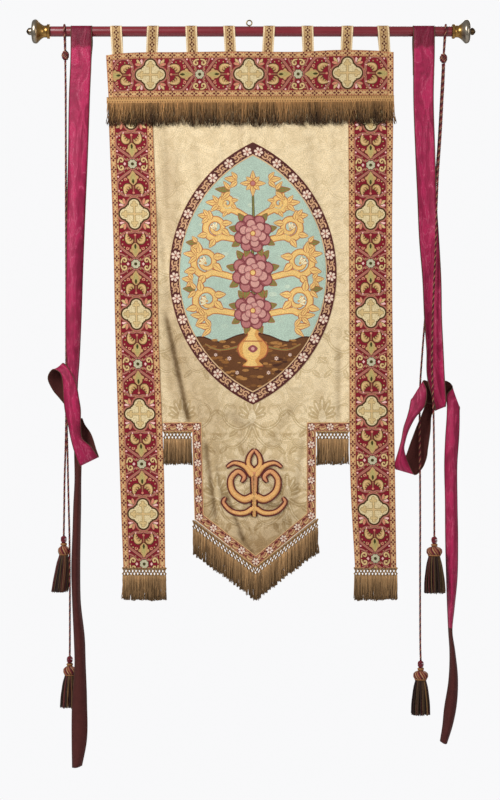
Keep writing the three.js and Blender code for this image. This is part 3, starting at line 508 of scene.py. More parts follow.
def moved(shapes, x, y, turn=0.0, size=1.0):
    c, s = math.cos(turn) * size, math.sin(turn) * size
    return [(colour, [(x + c * px - s * py, y + s * px + c * py) for px, py in points])
            for colour, points in shapes]


def finely(points, step):
    """A closed outline whose long edges are cut into equal parts, none longer than step."""
    out = []
    for i, start in enumerate(points):
        end = points[(i + 1) % len(points)]
        parts = max(1, math.ceil(math.dist(start, end) / step))
        out += [(start[0] + (end[0] - start[0]) * k / parts, start[1] + (end[1] - start[1]) * k / parts)
                for k in range(parts)]
    return out


def area_of(points):
    """The area inside a flat outline, below zero where it runs clockwise."""
    x, y = np.array(points, float).T
    return 0.5 * np.sum(x * np.roll(y, -1) - y * np.roll(x, -1))


def place_key(x, y):
    """The same two whole numbers for flat places within 0.002 mm of each other."""
    return math.floor(x * 500 + 0.37), math.floor(y * 500 + 0.37)


def cut_flat(outlines, holes, shapes, cell, tile=None):
    """A flat cut in triangles: their corners, the triangles and the number of each one's top figure."""
    edges, figures = [[finely(points if area_of(points) > 0 else points[::-1], cell) for points in polygons]
                      for polygons in ([*outlines, *holes], shapes)]
    reach = np.array([p for polygon in edges for p in polygon])
    low, high = reach.min(0) - 1, reach.max(0) + 1
    counts = np.maximum(1, np.round((high - low) / (tile or 1e9))).astype(int)
    spread = [(min(x for x, _ in points), min(y for _, y in points), max(x for x, _ in points),
               max(y for _, y in points)) for points in figures]
    columns = [low[0] + (high[0] - low[0]) * k / counts[0] for k in range(counts[0] + 1)]
    rows = [low[1] + (high[1] - low[1]) * k / counts[1] for k in range(counts[1] + 1)]
    places, numbers, faces, tops = [], {}, [], []
    for x0, x1 in zip(columns, columns[1:]):
        for y0, y1 in zip(rows, rows[1:]):
            here = [k for k, (a, b, c, d) in enumerate(spread) if a < x1 and c > x0 and b < y1 and d > y0]
            polygons = edges + [finely(box(x0, y0, x1, y1), cell)] + [figures[k] for k in here]
            flat = [Vector(p) for polygon in polygons for p in polygon]
            ends = np.cumsum([0] + [len(polygon) for polygon in polygons])
            for row, y in enumerate(np.arange(y0 + cell / 2, y1 - cell / 4, cell * 0.87)):
                for x in np.arange(x0 + cell * (0.3 + 0.4 * (row % 2)), x1 - cell / 5, cell):
                    flat.append(Vector((x, y)))
            groups = [list(range(a, b)) for a, b in zip(ends, ends[1:])]
            made, _, triangles, _, _, inside = geometry.delaunay_2d_cdt(flat, [], groups, 1, 1e-3, True)
            window, first = len(edges), len(edges) + 1
            for triangle, within in zip(triangles, inside):
                if window not in within or min(within) >= len(outlines):
                    continue
                if any(len(outlines) <= k < window for k in within):
                    continue
                face = []
                for k in triangle:
                    key = place_key(*made[k])
                    if key not in numbers:
                        numbers[key] = len(places)
                        places.append(tuple(made[k]))
                    face.append(numbers[key])
                if len(set(face)) == 3:
                    faces.append(tuple(face))
                    tops.append(here[max(within) - first] if max(within) >= first else -1)
    return np.array(places), np.array(faces), tops


def rims(faces):
    """The open edges of a flat cut as closed rings of corners."""
    edges = np.concatenate([faces[:, [0, 1]], faces[:, [1, 2]], faces[:, [2, 0]]])
    _, where, uses = np.unique(np.sort(edges, axis=1), axis=0, return_inverse=True, return_counts=True)
    after = {int(a): int(b) for a, b in edges[uses[where.ravel()] == 1]}
    rings = []
    while after:
        start, ring = next(iter(after)), []
        while start in after:
            ring.append(start)
            start = after.pop(start)
        rings.append(ring)
    return rings


def cut_cloth(name, outlines, holes, ground, shapes, cell, lay, thick, face, lining, front=True):
    """Cloth cut to its outlines, its figures as faces of their own colour, over a plain lining."""
    uv, faces, tops = cut_flat(outlines, holes, [points for _, points in shapes], cell, 80)
    dyes = [shapes[k][0] if k >= 0 else ground for k in tops]
    rings = rims(faces)
    outer = [ring for ring in rings if area_of(uv[ring]) > 4]
    inner = [ring for ring in rings if area_of(uv[ring]) < -4]
    flat = [[tuple(uv[k]) for k in ring] for ring in outer + inner]
    back_uv, back_faces, _ = cut_flat(flat[:len(outer)], flat[len(outer):], [], cell * 1.4)

    def placed(at, behind):
        here = np.stack(lay(at[:, 0], at[:, 1]), 1)
        if not behind:
            return here
        along_u = np.stack(lay(at[:, 0] + 0.5, at[:, 1]), 1) - np.stack(lay(at[:, 0] - 0.5, at[:, 1]), 1)
        along_v = np.stack(lay(at[:, 0], at[:, 1] + 0.5), 1) - np.stack(lay(at[:, 0], at[:, 1] - 0.5), 1)
        out = np.cross(along_u, along_v)
        out /= np.linalg.norm(out, axis=1)[:, None]
        return here - out * (behind if front else -behind)

    count = len(uv)
    points = np.vstack([placed(uv, 0), placed(back_uv, thick)])
    numbers = {place_key(x, y): k for k, (x, y) in enumerate(back_uv)}
    walls = []
    for ring in outer + inner:
        behind = [numbers.get(place_key(*uv[k])) for k in ring]
        for i in range(len(ring)):
            j = (i + 1) % len(ring)
            if behind[i] is not None and behind[j] is not None:
                walls.append((ring[j], ring[i], count + behind[i], count + behind[j]))
    every = [tuple(t) for t in faces.tolist()]
    every += [tuple(count + k for k in reversed(t)) for t in back_faces.tolist()] + walls
    if not front:
        every = [tuple(reversed(t)) for t in every]
    piece = new_piece(name, points, every, face, np.vstack([uv, back_uv]))
    piece.data.materials.append(lining)
    colours = [dye for dye in dyes for _ in range(3)] + [ground] * (3 * len(back_faces) + 4 * len(walls))
    layer = piece.data.color_attributes.new(name="dye", type="FLOAT_COLOR", domain="CORNER")
    layer.data.foreach_set("color", np.array(colours, np.float32).ravel())
    slots = np.zeros(len(every), np.int32)
    slots[len(faces):] = 1
    piece.data.polygons.foreach_set("material_index", slots)
    piece.data.update()
    smooth_by_angle(piece, 50)
    return piece


def node_group(name, inputs, outputs):
    """An empty group of shader nodes. Its first input is a place, and the others are numbers."""
    group = bpy.data.node_groups.new(name, "ShaderNodeTree")
    for k, title in enumerate(inputs):
        kind = "NodeSocketFloat" if k else "NodeSocketVector"
        group.interface.new_socket(name=title, in_out="INPUT", socket_type=kind)
    for title in outputs:
        group.interface.new_socket(name=title, in_out="OUTPUT", socket_type="NodeSocketFloat")
    return group, group.nodes.new("NodeGroupInput"), group.nodes.new("NodeGroupOutput")


def weave_group():
    """Height and shade of a plain weave, from a place in metres on the cloth."""
    group, into, out = node_group("weave", ("Place", "Across", "Along"), ("Height", "Shade"))
    apart = put(group, "ShaderNodeSeparateXYZ", Vector=into.outputs["Place"])
    waves = [reckon(group, "SINE", reckon(group, "MULTIPLY", apart.outputs[part], into.outputs[count]))
             for part, count in (("X", "Across"), ("Y", "Along"))]
    height = reckon(group, "MULTIPLY", *waves)
    slub = noise(group, into.outputs["Place"], 340.0, 3.0, Roughness=0.7)
    feed(group, out, Height=height, Shade=reckon(group, "MULTIPLY_ADD", height, 0.12, slub))
    return group


def age_group():
    """Slow mottling, and darker dust and stains, from a place in metres."""
    group, into, out = node_group("age", ("Place", "Mottle", "Stain"), ("Tone",))
    broad = noise(group, into.outputs["Place"], 6.0, 4.0)
    fine = noise(group, into.outputs["Place"], 60.0, 5.0)
    spots = noise(group, into.outputs["Place"], 17.0, 6.0, Roughness=0.65)
    swing = reckon(group, "SUBTRACT", reckon(group, "ADD", broad, fine), 1.0)
    mottle = reckon(group, "MULTIPLY_ADD", swing, into.outputs["Mottle"], 1.0)
    dark = reckon(group, "MULTIPLY", ranged(group, spots, 0.0, 1.0, 0.56, 0.76), into.outputs["Stain"])
    feed(group, out, Tone=reckon(group, "SUBTRACT", mottle, dark))
    return group


weave = weave_group()
age = age_group()


def cloth_material(name, roughness, across, along, mottle=0.25, stain=0.12, relief=0.5, plain=None):
    """Woven cloth: its dye or one plain colour, aged, with its threads as bump and shade."""
    made, tree, shader = new_material(name, roughness, Sheen_Weight=0.02, Sheen_Roughness=0.4,
                                      Specular_IOR_Level=0.15)
    if plain is None:
        dye = put(tree, "ShaderNodeVertexColor", {"layer_name": "dye"}).outputs["Color"]
    else:
        dye = put(tree, "ShaderNodeRGB").outputs[0]
        dye.default_value = plain
    flat = put(tree, "ShaderNodeUVMap", {"uv_map": "cloth"}).outputs["UV"]
    space = put(tree, "ShaderNodeTexCoord").outputs["Object"]
    threads = put(tree, "ShaderNodeGroup", {"node_tree": weave}, Place=flat, Across=across, Along=along)
    years = put(tree, "ShaderNodeGroup", {"node_tree": age}, Place=space, Mottle=mottle, Stain=stain)
    thread_shade = ranged(tree, threads.outputs["Shade"], 0.68, 1.26, 0.3, 0.7)
    shade = reckon(tree, "MULTIPLY", thread_shade, years.outputs["Tone"])
    colour = put(tree, "ShaderNodeVectorMath", {"operation": "SCALE"}, _0=dye, Scale=shade)
    bump = put(tree, "ShaderNodeBump", Height=threads.outputs["Height"], Strength=relief, Distance=0.0003)
    feed(tree, shader, Base_Color=colour.outputs["Vector"], Normal=bump.outputs["Normal"])
    return made


figured = cloth_material("figured_weave", 0.72, 4200, 3600)
linen = cloth_material("linen_lining", 0.9, 2600, 2600, plain=srgb(196, 176, 138))


def along(rows, key, column, at):
    """Smooth reading of a column of a table at places along another."""
    keys = np.array([row[key] for row in rows], float)
    values = np.array([row[column] for row in rows], float)
    slopes = np.diff(values) / np.diff(keys)
    rising = 1 if keys[-1] > keys[0] else -1
    last = len(rows) - 1
    i = np.clip(np.searchsorted(keys * rising, np.asarray(at) * rising, side="left") - 1, 0, last - 1)
    span = keys[i + 1] - keys[i]
    t = np.clip((at - keys[i]) / span, 0, 1)
    start = (slopes[np.maximum(i - 1, 0)] + slopes[i]) / 2 * span
    end = (slopes[i] + slopes[np.minimum(i + 1, last - 1)]) / 2 * span
    return (values[i] * (2 * t ** 3 - 3 * t ** 2 + 1) + start * (t ** 3 - 2 * t ** 2 + t)
            + values[i + 1] * (3 * t ** 2 - 2 * t ** 3) + end * (t ** 3 - t ** 2))


def read(rows, key, column, at):
    return float(along(rows, key, column, np.array(at, float)))


HEADER = table(
    "x top foot",
    (-401, -91, -226), (-354, -85, -226), (-180, -82, -224), (-37, -80, -224),
    (142, -81, -223), (251, -76, -222), (357, -78, -221), (404, -82, -221),
)
TAB = {"width": 32, "cloth": 1.2, "clearance": 0.9, "tongue": 30, "join": 4, "past": 0.35, "arc_steps": 22}
TABS = table(
    "x slant",
    (-372, 3), (-270, -3), (-162, 2), (-56, 3), (55, -3), (163, 2), (274, -2), (375, 4),
)
TAB_GROUND = srgb(190, 156, 108)
TAB_EDGE = srgb(228, 202, 160)
TAB_CROSS = srgb(92, 46, 34)
TAB_DOT = srgb(138, 92, 54)
TAB_REPEAT = 19.0


def tab_figures(length):
    half = TAB["width"] / 2
    shapes = [(TAB_EDGE, box(side * half - 4.5, -1, side * half + 4.5, length + 1)) for side in (-1, 1)]
    for line in (6.2 - half, half - 6.2):
        shapes.append((TAB_DOT, box(line - 0.5, -1, line + 0.5, length + 1)))
    for k in range(int(length / TAB_REPEAT) + 1):
        v = (k + 0.5) * TAB_REPEAT
        for du, dv in ((0, 5.4), (0, -5.4), (4.6, 0), (-4.6, 0)):
            shapes.append((TAB_CROSS, diamond(du, v + dv, 3.2, 4.2)))
        shapes.append((TAB_EDGE, disc(0, v, 1.5, 6)))
        for side in (-1, 1):
            shapes.append((TAB_DOT, diamond(side * 5.5, v + TAB_REPEAT / 2, 1.6, 2.4)))
    return shapes


for k, tab in enumerate(TABS):
    join = read(HEADER, "x", "top", tab["x"]) + TAB["join"]
    reach = POLE["radius"] + TAB["clearance"] + TAB["cloth"]
    turns = np.linspace(math.pi + TAB["past"], -TAB["past"], TAB["arc_steps"])
    route = [(-TAB["cloth"], join - TAB["tongue"]), (-TAB["cloth"] - 0.2, join)]
    route += [(reach * math.cos(a), POLE["z"] + reach * math.sin(a)) for a in turns]
    route += [(TAB["cloth"] + 0.2, join), (TAB["cloth"], join - TAB["tongue"])]
    route = np.array(route)
    run = distances(route)

    def lay_tab(u, v, tab=tab, join=join, route=route, run=run):
        y = np.interp(v, run, route[:, 0])
        z = np.interp(v, run, route[:, 1])
        lean = tab["slant"] * (POLE["z"] - z) / (POLE["z"] - join)
        return tab["x"] + u + lean, y, z

    cloth = cut_cloth("woven_tab_%d" % (k + 1), [box(-TAB["width"] / 2, 0, TAB["width"] / 2, run[-1])], [],
                      TAB_GROUND, tab_figures(run[-1]), 6, lay_tab, TAB["cloth"] - 0.1, figured, linen)
    keep_piece(cloth, "tab_ribbon", "tab_%d" % (k + 1))


# Header: a patterned band woven with crosses, leaves and strapwork, laid sideways, with border
# strips of small crosses on all sides. It is sewn over the tabs and the tops of panel and bands.
WAVES = table("length slant phase height", (560, 0.25, 0.6, 5), (260, -0.12, 2.1, 2.5), (1500, 1.1, 4.0, 4))
WAVES_START = -290
WAVES_FULL = 850
FOLDS = table(
    "x0 z0 x1 z1 width depth",
    (-234, -786, -171, -1109, 36, 9), (248, -900, 246, -1114, 34, 6),
    (-236, -560, -226, -776, 36, 4), (-146, -1168, -110, -1392, 30, 4),
)
CREASES = table(
    "x0 z0 x1 z1 width depth",
    (-228, -845, -174, -1095, 9, 6.0), (-208, -850, -152, -1085, 13, -3.8),
    (-250, -560, -226, -800, 9, 2.4), (-120, -1190, -96, -1370, 9, 4.4),
    (-106, -1180, -84, -1350, 10, -2.8), (-132, -1220, -112, -1380, 7, -2.4),
    (-60, -1330, -18, -1440, 8, 4.4), (-48, -1320, -4, -1430, 8, -3.0),
    (-28, -1430, 6, -1480, 7, 3.4), (44, -1355, 92, -1352, 9, 3.0),
    (-90, -1250, -70, -1340, 9, 2.6), (150, -1180, 132, -1330, 12, 2.6),
    (252, -930, 250, -1100, 10, 3.0), (238, -860, 240, -1060, 12, -2.2),
    (-60, -1100, 10, -1130, 18, 2.6), (-24, -292, -12, -312, 7, 2.0),
    (-10, -300, 2, -322, 6, -1.8), (-150, -350, -130, -560, 16, 2.2),
    (170, -330, 200, -560, 18, 2.2), (-200, -400, -196, -700, 14, 2.0),
    (120, -1080, 60, -1180, 20, 2.4), (-236, -240, -228, -470, 12, 2.2),
    (60, -240, 66, -330, 14, 1.6), (222, -300, 236, -620, 12, -2.0),
)
FOLD_ENDS = 0.25


def fold_at(fold, x, z):
    """How much of one fold there is at a place, from 0 to 1."""
    dx, dz = fold["x1"] - fold["x0"], fold["z1"] - fold["z0"]
    t = ((x - fold["x0"]) * dx + (z - fold["z0"]) * dz) / (dx * dx + dz * dz)
    away = np.hypot(x - fold["x0"] - t * dx, z - fold["z0"] - t * dz) / fold["width"]
    ends = np.clip((0.5 + FOLD_ENDS - np.abs(t - 0.5)) / FOLD_ENDS, 0, 1)
    return ends * ends * (3 - 2 * ends) * np.exp(-away * away)


def forward(x, z):
    """How far the cloth stands forward of the upright plane through the pole."""
    grow = np.clip((WAVES_START - z) / WAVES_FULL, 0, 1)
    total = 0.0
    for wave in WAVES:
        turns = 2 * math.pi * (x + wave["slant"] * z) / wave["length"] + wave["phase"]
        total = total + wave["height"] * grow * np.sin(turns)
    for fold in FOLDS + CREASES:
        total = total - fold["depth"] * fold_at(fold, x, z)
    return total


def on_cloth(front):
    """Lays flat places on the hanging cloth, so far in front of the panel."""
    return lambda x, z: (x, -forward(x, z) - front, z)


LAYER = {
    # how far each cloth's face is in front of the panel's, and how thick it is
    "panel": (0, 2), "braid": (1.5, 1.2), "band": (1.8, 1.5), "header": (3.9, 1.8), "heading": (5.7, 1.5),
}

CRIMSON = srgb(124, 20, 36)
STRAP = srgb(178, 108, 96)
STRAP_EDGE = srgb(92, 54, 38)
HALO = srgb(152, 96, 70)
OUTLINE = srgb(74, 52, 26)
CREAM = srgb(220, 200, 154)
CREAM_SHADE = srgb(198, 176, 128)
CROSS_GOLD = srgb(206, 178, 124)
CROSS_LINE = srgb(136, 110, 68)
GOLD = srgb(192, 152, 100)
GOLD_PALE = srgb(212, 178, 124)
GOLD_GREEN = srgb(178, 160, 100)
PINK = srgb(206, 132, 106)
PINK_PALE = srgb(238, 184, 178)
ROSETTE = srgb(188, 182, 150)
GREEN = srgb(62, 58, 24)
BORDER = srgb(196, 144, 100)
BORDER_LINE = srgb(128, 88, 56)
BORDER_PALE = srgb(208, 170, 118)
BORDER_DARK = srgb(104, 38, 36)
BORDER_RED = srgb(150, 58, 50)
BAND = {"half": 61.5, "field": 44.5, "repeat": 277.0, "border_repeats": 9}


def quarters(shapes):
    """A figure drawn in one quarter of the repeat, in all four."""
    sides = shapes + mirrored(shapes)
    return sides + [(colour, [(x, -y) for x, y in points][::-1]) for colour, points in sides]


def both_sides(half):
    """A closed outline from its left half, which starts and ends on the middle line."""
    return half + [(-x, y) for x, y in reversed(half[1:-1])]


def cross_figure():
    """A cream quatrefoil with stepped inner corners, outlined, with a budded cross inside."""
    shapes = []
    rings = ((HALO, 8.8), (STRAP, 7.0), (OUTLINE, 4.6), (CREAM, 0.0), (CREAM_SHADE, -3.0), (CREAM, -3.8))
    for colour, grow in rings:
        square = 17.5 + grow
        shapes.append((colour, box(-square, -square, square, square)))
        for x, y in ((25.8, 0), (-25.8, 0), (0, 25.8), (0, -25.8)):
            shapes.append((colour, disc(x, y, 14.6 + grow, 24)))
        for a, b in ((20.3, 15.8), (15.8, 20.3)):
            for side in ((1, 1), (1, -1), (-1, 1), (-1, -1)):
                if grow > -3.5:
                    shapes.append((colour, disc(side[0] * a, side[1] * b, 3.7 + grow, 10)))
    for colour, wide in ((CROSS_LINE, 1.1), (CROSS_GOLD, 0.0)):
        for quarter in range(4):
            arm = [(colour, box(-2.6 - wide, 0, 2.6 + wide, 24))]
            arm += [(colour, disc(x, y, radius + wide, 12)) for x, y, radius in
                    ((-5.6, 24.6, 4.0), (5.6, 24.6, 4.0), (0, 31.0, 4.8), (0, 26.5, 4.2))]
            shapes += moved(arm, 0, 0, quarter * math.pi / 2)
    shapes.append((GOLD_PALE, disc(0, 0, 4.2, 12)))
    return shapes


def curled_leaf():
    """A leaf curled in towards the middle, with dark notches along its inner edge."""
    leaf = [(-22.5, 52), (-26.5, 58), (-28.5, 67), (-27, 76), (-21, 82.5), (-13, 83), (-7, 79), (-5.6, 72.5),
            (-8.5, 68), (-11.5, 70.5), (-13, 65), (-16.5, 65.5), (-17.5, 59.5), (-20.5, 58)]
    grown = [(-16.5 + (x + 16.5) * 1.17, 68 + (y - 68) * 1.13) for x, y in leaf]
    shapes = [(OUTLINE, loop_through(grown, 3)), (GOLD, loop_through(leaf, 3))]
    shapes.append((GOLD_PALE, stroke([(-23.5, 58), (-25, 68), (-21, 77), (-13, 79)], 0.8, 1.0, 2.2)))
    for notch in (
        ((-8, 68), (-11, 73), (-15, 75)),
        ((-12.5, 64.5), (-16, 68), (-19.5, 69)),
        ((-17, 59), (-19.5, 62), (-22, 62)),
    ):
        shapes.append((OUTLINE, stroke(notch, 1.7, 0.7)))
    shapes.append((PINK_PALE, disc(-22.5, 52.5, 2.2, 8)))
    return shapes


def fleuron():
    """A pointed bud between the straps, gold green with a dark heart."""
    outer = both_sides([(0, 120), (-5, 114), (-9.5, 107), (-14.5, 104.5), (-15.6, 99), (-11, 96), (-10.5, 90),
                        (-6, 84), (0, 80)])
    grown = [(x * 1.14, 99 + (y - 99) * 1.09) for x, y in outer]
    shapes = [(OUTLINE, loop_through(grown, 3)), (GOLD, loop_through(outer, 3))]
    inner = both_sides([(0, 115), (-5.5, 106), (-7.5, 98), (-5, 89), (0, 83)])
    shapes.append((GOLD_GREEN, loop_through(inner, 3)))
    shapes.append((GREEN, loop_through([(0, 97.5), (-3.4, 90), (0, 82.5), (3.4, 90)], 3)))
    return shapes


def band_repeat():
    """One repeat of the woven pattern about a cross at 0, with half a rosette at each end."""
    strap = [(-0.5, 122), (-9, 117), (-21, 108.5), (-33, 99.5), (-43, 90), (-45.5, 78), (-43.5, 66),
             (-35, 56.5), (-24, 50.5), (-11, 51), (-1, 48.5)]
    quarter = [(STRAP_EDGE, stroke(strap, 4.6)), (STRAP, stroke(strap, 3.0)), (HALO, stroke(strap, 0.7))]
    outer = [(-0.5, 121), (-10, 127.5), (-20, 126), (-30, 117), (-38, 112.5), (-46, 111)]
    quarter += [(STRAP_EDGE, stroke(outer, 3.4)), (STRAP, stroke(outer, 2.1))]
    quarter += curled_leaf()
    for tip, colour in (((-42, 24.5), PINK_PALE), ((-41.5, 38.5), GOLD_PALE), ((-29.5, 43), PINK)):
        quarter.append((OUTLINE, stroke([(-23.5, 26.5), tip], 2.0, 3.0, 5.6)))
        quarter.append((colour, stroke([(-25.5, 27.5), tip], 1.0, 1.4, 4.0)))
    curl = [(-18, 93), (-19.5, 98.5), (-24, 98.5), (-25, 94), (-21.5, 92.5)]
    quarter.append((STRAP_EDGE, stroke(curl, 2.8, 2.4)))
    quarter.append((PINK, stroke(curl, 1.7, 1.4)))
    scroll = [(-41, 136.5), (-39, 127), (-32.5, 122), (-26.5, 125.5), (-28, 132), (-33, 132.5), (-34, 128.5)]
    quarter.append((OUTLINE, stroke(scroll, 2.8, 2.4, 4.0)))
    quarter.append((GOLD_PALE, stroke(scroll, 1.6, 1.3, 2.6)))
    for u, v, radius, colour in ((-34, 72, 1.9, GOLD), (-36, 84, 2.2, PINK), (-31, 92, 1.8, GOLD_PALE),
                                 (-38, 119, 1.8, PINK), (-14, 125, 2.0, GOLD), (-24, 116.5, 1.7, PINK),
                                 (-33, 61, 1.6, PINK_PALE), (-10, 47.5, 1.9, GOLD), (-40, 54, 2.0, GOLD)):
        quarter.append((OUTLINE, disc(u, v, radius + 1.0, 7)))
        quarter.append((colour, disc(u, v, radius, 7)))
    quarter.append((PINK_PALE, disc(-41.5, 103, 2.7, 8)))
    quarter.append((PINK_PALE, disc(-40.5, 64, 2.2, 8)))
    shapes = quarters(quarter)
    for side in (1, -1):
        shapes.append((STRAP_EDGE, stroke([(0, side * 52), (0, side * 68), (0, side * 84)], 2.2, 3.2)))
        shapes.append((HALO, stroke([(0, side * 54), (0, side * 68), (0, side * 84)], 1.2, 2.0)))
        shapes.append((PINK, disc(0, side * 58.5, 3.3, 10)))
        shapes += [(colour, [(x, side * y) for x, y in points][::side]) for colour, points in fleuron()]
    shapes += cross_figure()
    ends = (-BAND["repeat"] / 2, BAND["repeat"] / 2)
    for side in (-1, 1):
        for at in ends:
            shapes.append((OUTLINE, diamond(side * 21.5, at, 5.4, 6.2)))
            shapes.append((PINK_PALE, diamond(side * 21.5, at, 4.0, 4.8)))
    for at in ends:
        for colour, out, radius in ((OUTLINE, 9.0, 5.6), (ROSETTE, 8.6, 4.2)):
            for k in range(8):
                a = 2 * math.pi * (k + 0.5) / 8
                shapes.append((colour, disc(out * math.cos(a), at + out * math.sin(a), radius, 10)))
        shapes.append((ROSETTE, disc(0, at, 7.4, 14)))
        shapes.append((OUTLINE, disc(0, at, 4.6, 12)))
        shapes.append((GREEN, disc(0, at, 3.4, 10)))
    return shapes


def border_strip(u0, u1, v0, v1, count):
    """A pale strip with small crosses of four dots, between two thin lines."""
    middle, half = (u0 + u1) / 2, (u1 - u0) / 2
    shapes = [(BORDER_LINE, box(u0, v0, u1, v1)), (BORDER, box(u0 + 0.9, v0, u1 - 0.9, v1)),
              (BORDER_PALE, box(middle - half * 0.42, v0, middle + half * 0.42, v1))]
    pitch = (v1 - v0) / count
    for k in range(count):
        v = v0 + (k + 0.5) * pitch
        for side in (1, -1):
            shapes.append((BORDER_DARK, diamond(middle, v + side * 5.4, 3.2, 5.2)))
        for side in (1, -1):
            shapes.append((BORDER_DARK, diamond(middle + side * 4.7, v, 3.7, 3.2)))
        shapes.append((GOLD_PALE, disc(middle, v, 1.4, 6)))
        for side in (-1, 1):
            for dv in (pitch * 0.38, pitch * 0.62):
                shapes.append((BORDER_RED, diamond(middle + side * 4.4, v + dv, 1.9, 2.2)))
    return shapes


def mixed(a, b, t):
    return tuple(x + (y - x) * t for x, y in zip(a, b))


def woven_band(from_v, to_v):
    """All figures of a length of the band, with a cross at every whole repeat."""
    shapes = []
    repeat = BAND["repeat"]
    repeats = range(math.floor(from_v / repeat - 0.5), math.ceil(to_v / repeat + 0.5) + 1)
    for k in repeats:
        if (k + 0.5) * repeat > from_v and (k - 0.5) * repeat < to_v:
            shapes += moved(band_repeat(), 0, k * repeat)
    for k in repeats:
        for u0, u1 in ((-BAND["half"], -BAND["field"]), (BAND["field"], BAND["half"])):
            shapes += border_strip(u0, u1, (k - 0.5) * repeat, (k + 0.5) * repeat, BAND["border_repeats"])
    return shapes


HEADER_CROSS = {"x": -1, "pitch": 275.7}
HEADER_UNDER_BRAID = 17
HEADER_STRIP = 18
HEADER_SHADE_DIMMING = 0.14
HEADER_FLARE = {"width": 40, "in": 8}
left, right = HEADER[0]["x"], HEADER[-1]["x"]
scale = BAND["repeat"] / HEADER_CROSS["pitch"]
v_left, v_right = ((x - HEADER_CROSS["x"]) * scale for x in (left, right))
u_foot = -BAND["half"] - HEADER_UNDER_BRAID


def lay_header(u, v):
    x = HEADER_CROSS["x"] + v / scale
    top = along(HEADER, "x", "top", np.clip(x, left, right))
    foot = along(HEADER, "x", "foot", np.clip(x, left, right))
    t = (BAND["half"] - u) / (BAND["half"] - u_foot)
    x = x + HEADER_FLARE["in"] * t * np.clip((left + HEADER_FLARE["width"] - x) / HEADER_FLARE["width"], 0, 1)
    z = top + (foot - top) * t
    return x, -forward(x, z) - LAYER["header"][0], z


# The header's figures are dimmed a little towards the outline colour: painted shade.
figures = [(mixed(colour, OUTLINE, HEADER_SHADE_DIMMING), points) for colour, points in woven_band(v_left, v_right)]
for at in (v_left + HEADER_STRIP / 2, v_right - HEADER_STRIP / 2):
    strip = border_strip(-HEADER_STRIP / 2, HEADER_STRIP / 2, -BAND["half"], BAND["half"], 4)
    figures += [(colour, [(y, at + x) for x, y in points]) for colour, points in strip]
figures.append((BORDER_LINE, box(u_foot, v_left, -BAND["half"], v_right)))
header = cut_cloth("header_cloth", [box(u_foot, v_left, BAND["half"], v_right)], [], CRIMSON, figures, 9,
                   lay_header, LAYER["header"][1], figured, linen, front=False)
keep_piece(header, "woven_band", "header_band")


# Header fringe: cut bullion fringe of fine twisted threads, gold brown going to near black,
# in three uneven layers, hung from a narrow gold heading braid with two rows of dark dots.
HEADING = {"width": 17.6, "pitch": 7.0, "dot": 1.75, "rows": (-4.2, 4.2)}
HEADING_GOLD = srgb(186, 142, 90)
HEADING_EDGE = srgb(140, 98, 56)
HEADING_DOT = srgb(82, 50, 36)
HEADER_FRINGE = {"left": -399, "right": 405, "drop": 17, "length": 77, "pitch": 2.5, "radius": 0.95,
                 "up": 1.5}
FRINGE_OUT = (-1.2, 0.7, 2.6)
FRINGE_TOP = srgb(198, 150, 96)
FRINGE_FOOT = srgb(70, 47, 26)


def lay_heading(u, v):
    z = along(HEADER, "x", "foot", np.clip(u, left, right)) + v
    return u, -forward(u, z) - LAYER["heading"][0], z


first, last = HEADER_FRINGE["left"], HEADER_FRINGE["right"]
figures = [(HEADING_EDGE, box(first, -0.6, last, 1.6)), (HEADING_EDGE, box(first, 15.8, last, 17.8))]
for row, up in enumerate(HEADING["rows"]):
    for k in range(int((last - first) / HEADING["pitch"])):
        x = first + (k + 0.35 + 0.5 * row) * HEADING["pitch"]
        dot = diamond(x, HEADING["width"] / 2 + up, HEADING["dot"], HEADING["dot"] * 1.2)
        figures.append((HEADING_DOT, dot))
heading = cut_cloth("heading_braid", [box(first, 0, last, HEADING["width"])], [], HEADING_GOLD, figures, 8,
                    lay_heading, LAYER["heading"][1], figured, linen)
keep_piece(heading, "bullion_fringe", "header_fringe")

fringe_yarn = yarn_material("fringe_yarn", 0.7, 0.03)
chance = random.Random(7)


def cut_strands(name, tops, length, radius, pale, dark, uneven=5.0, lean=3.0, rows=8, curl=1.6):
    """Loose strands that hang from places on an edge, each going from a paler to a darker dye."""
    lines, sizes, dyes = [], [], []
    for x, y, z, slope in tops:
        tuft = math.sin(x * 0.11) + math.sin(x * 0.27 + 1.3) + math.sin(x * 0.041 + 0.5)
        reach = length + chance.uniform(-uneven, uneven) + uneven * 0.3 * tuft
        drift = chance.gauss(0, lean) + slope + lean * 0.35 * tuft
        bow = chance.gauss(0, curl)
        out = chance.uniform(-1.2, 1.2)
        tone = chance.uniform(0.62, 1.3)
        start = chance.uniform(-0.15, 0.35) + 0.12 * tuft
        line, colour = [], []
        for k in range(rows):
            t = k / (rows - 1)
            wave = bow * math.sin(math.pi * t * (1.2 + curl * 0.5) + start * 9)
            away = y + out * t * 2 + 0.6 * bow * t * (1 - t)
            line.append((x + drift * t ** 1.5 + wave * t, away, z - reach * t))
            shade = mixed(pale, dark, min(1, max(0, start + t * 0.95)))
            colour.append((*(min(1, part * tone) for part in shade[:3]), 1))
        lines.append(line)
        sizes.append([radius * chance.uniform(0.8, 1.15)] * rows)
        dyes.append(colour)
    return strands(name, lines, sizes, dyes, 3, fringe_yarn)


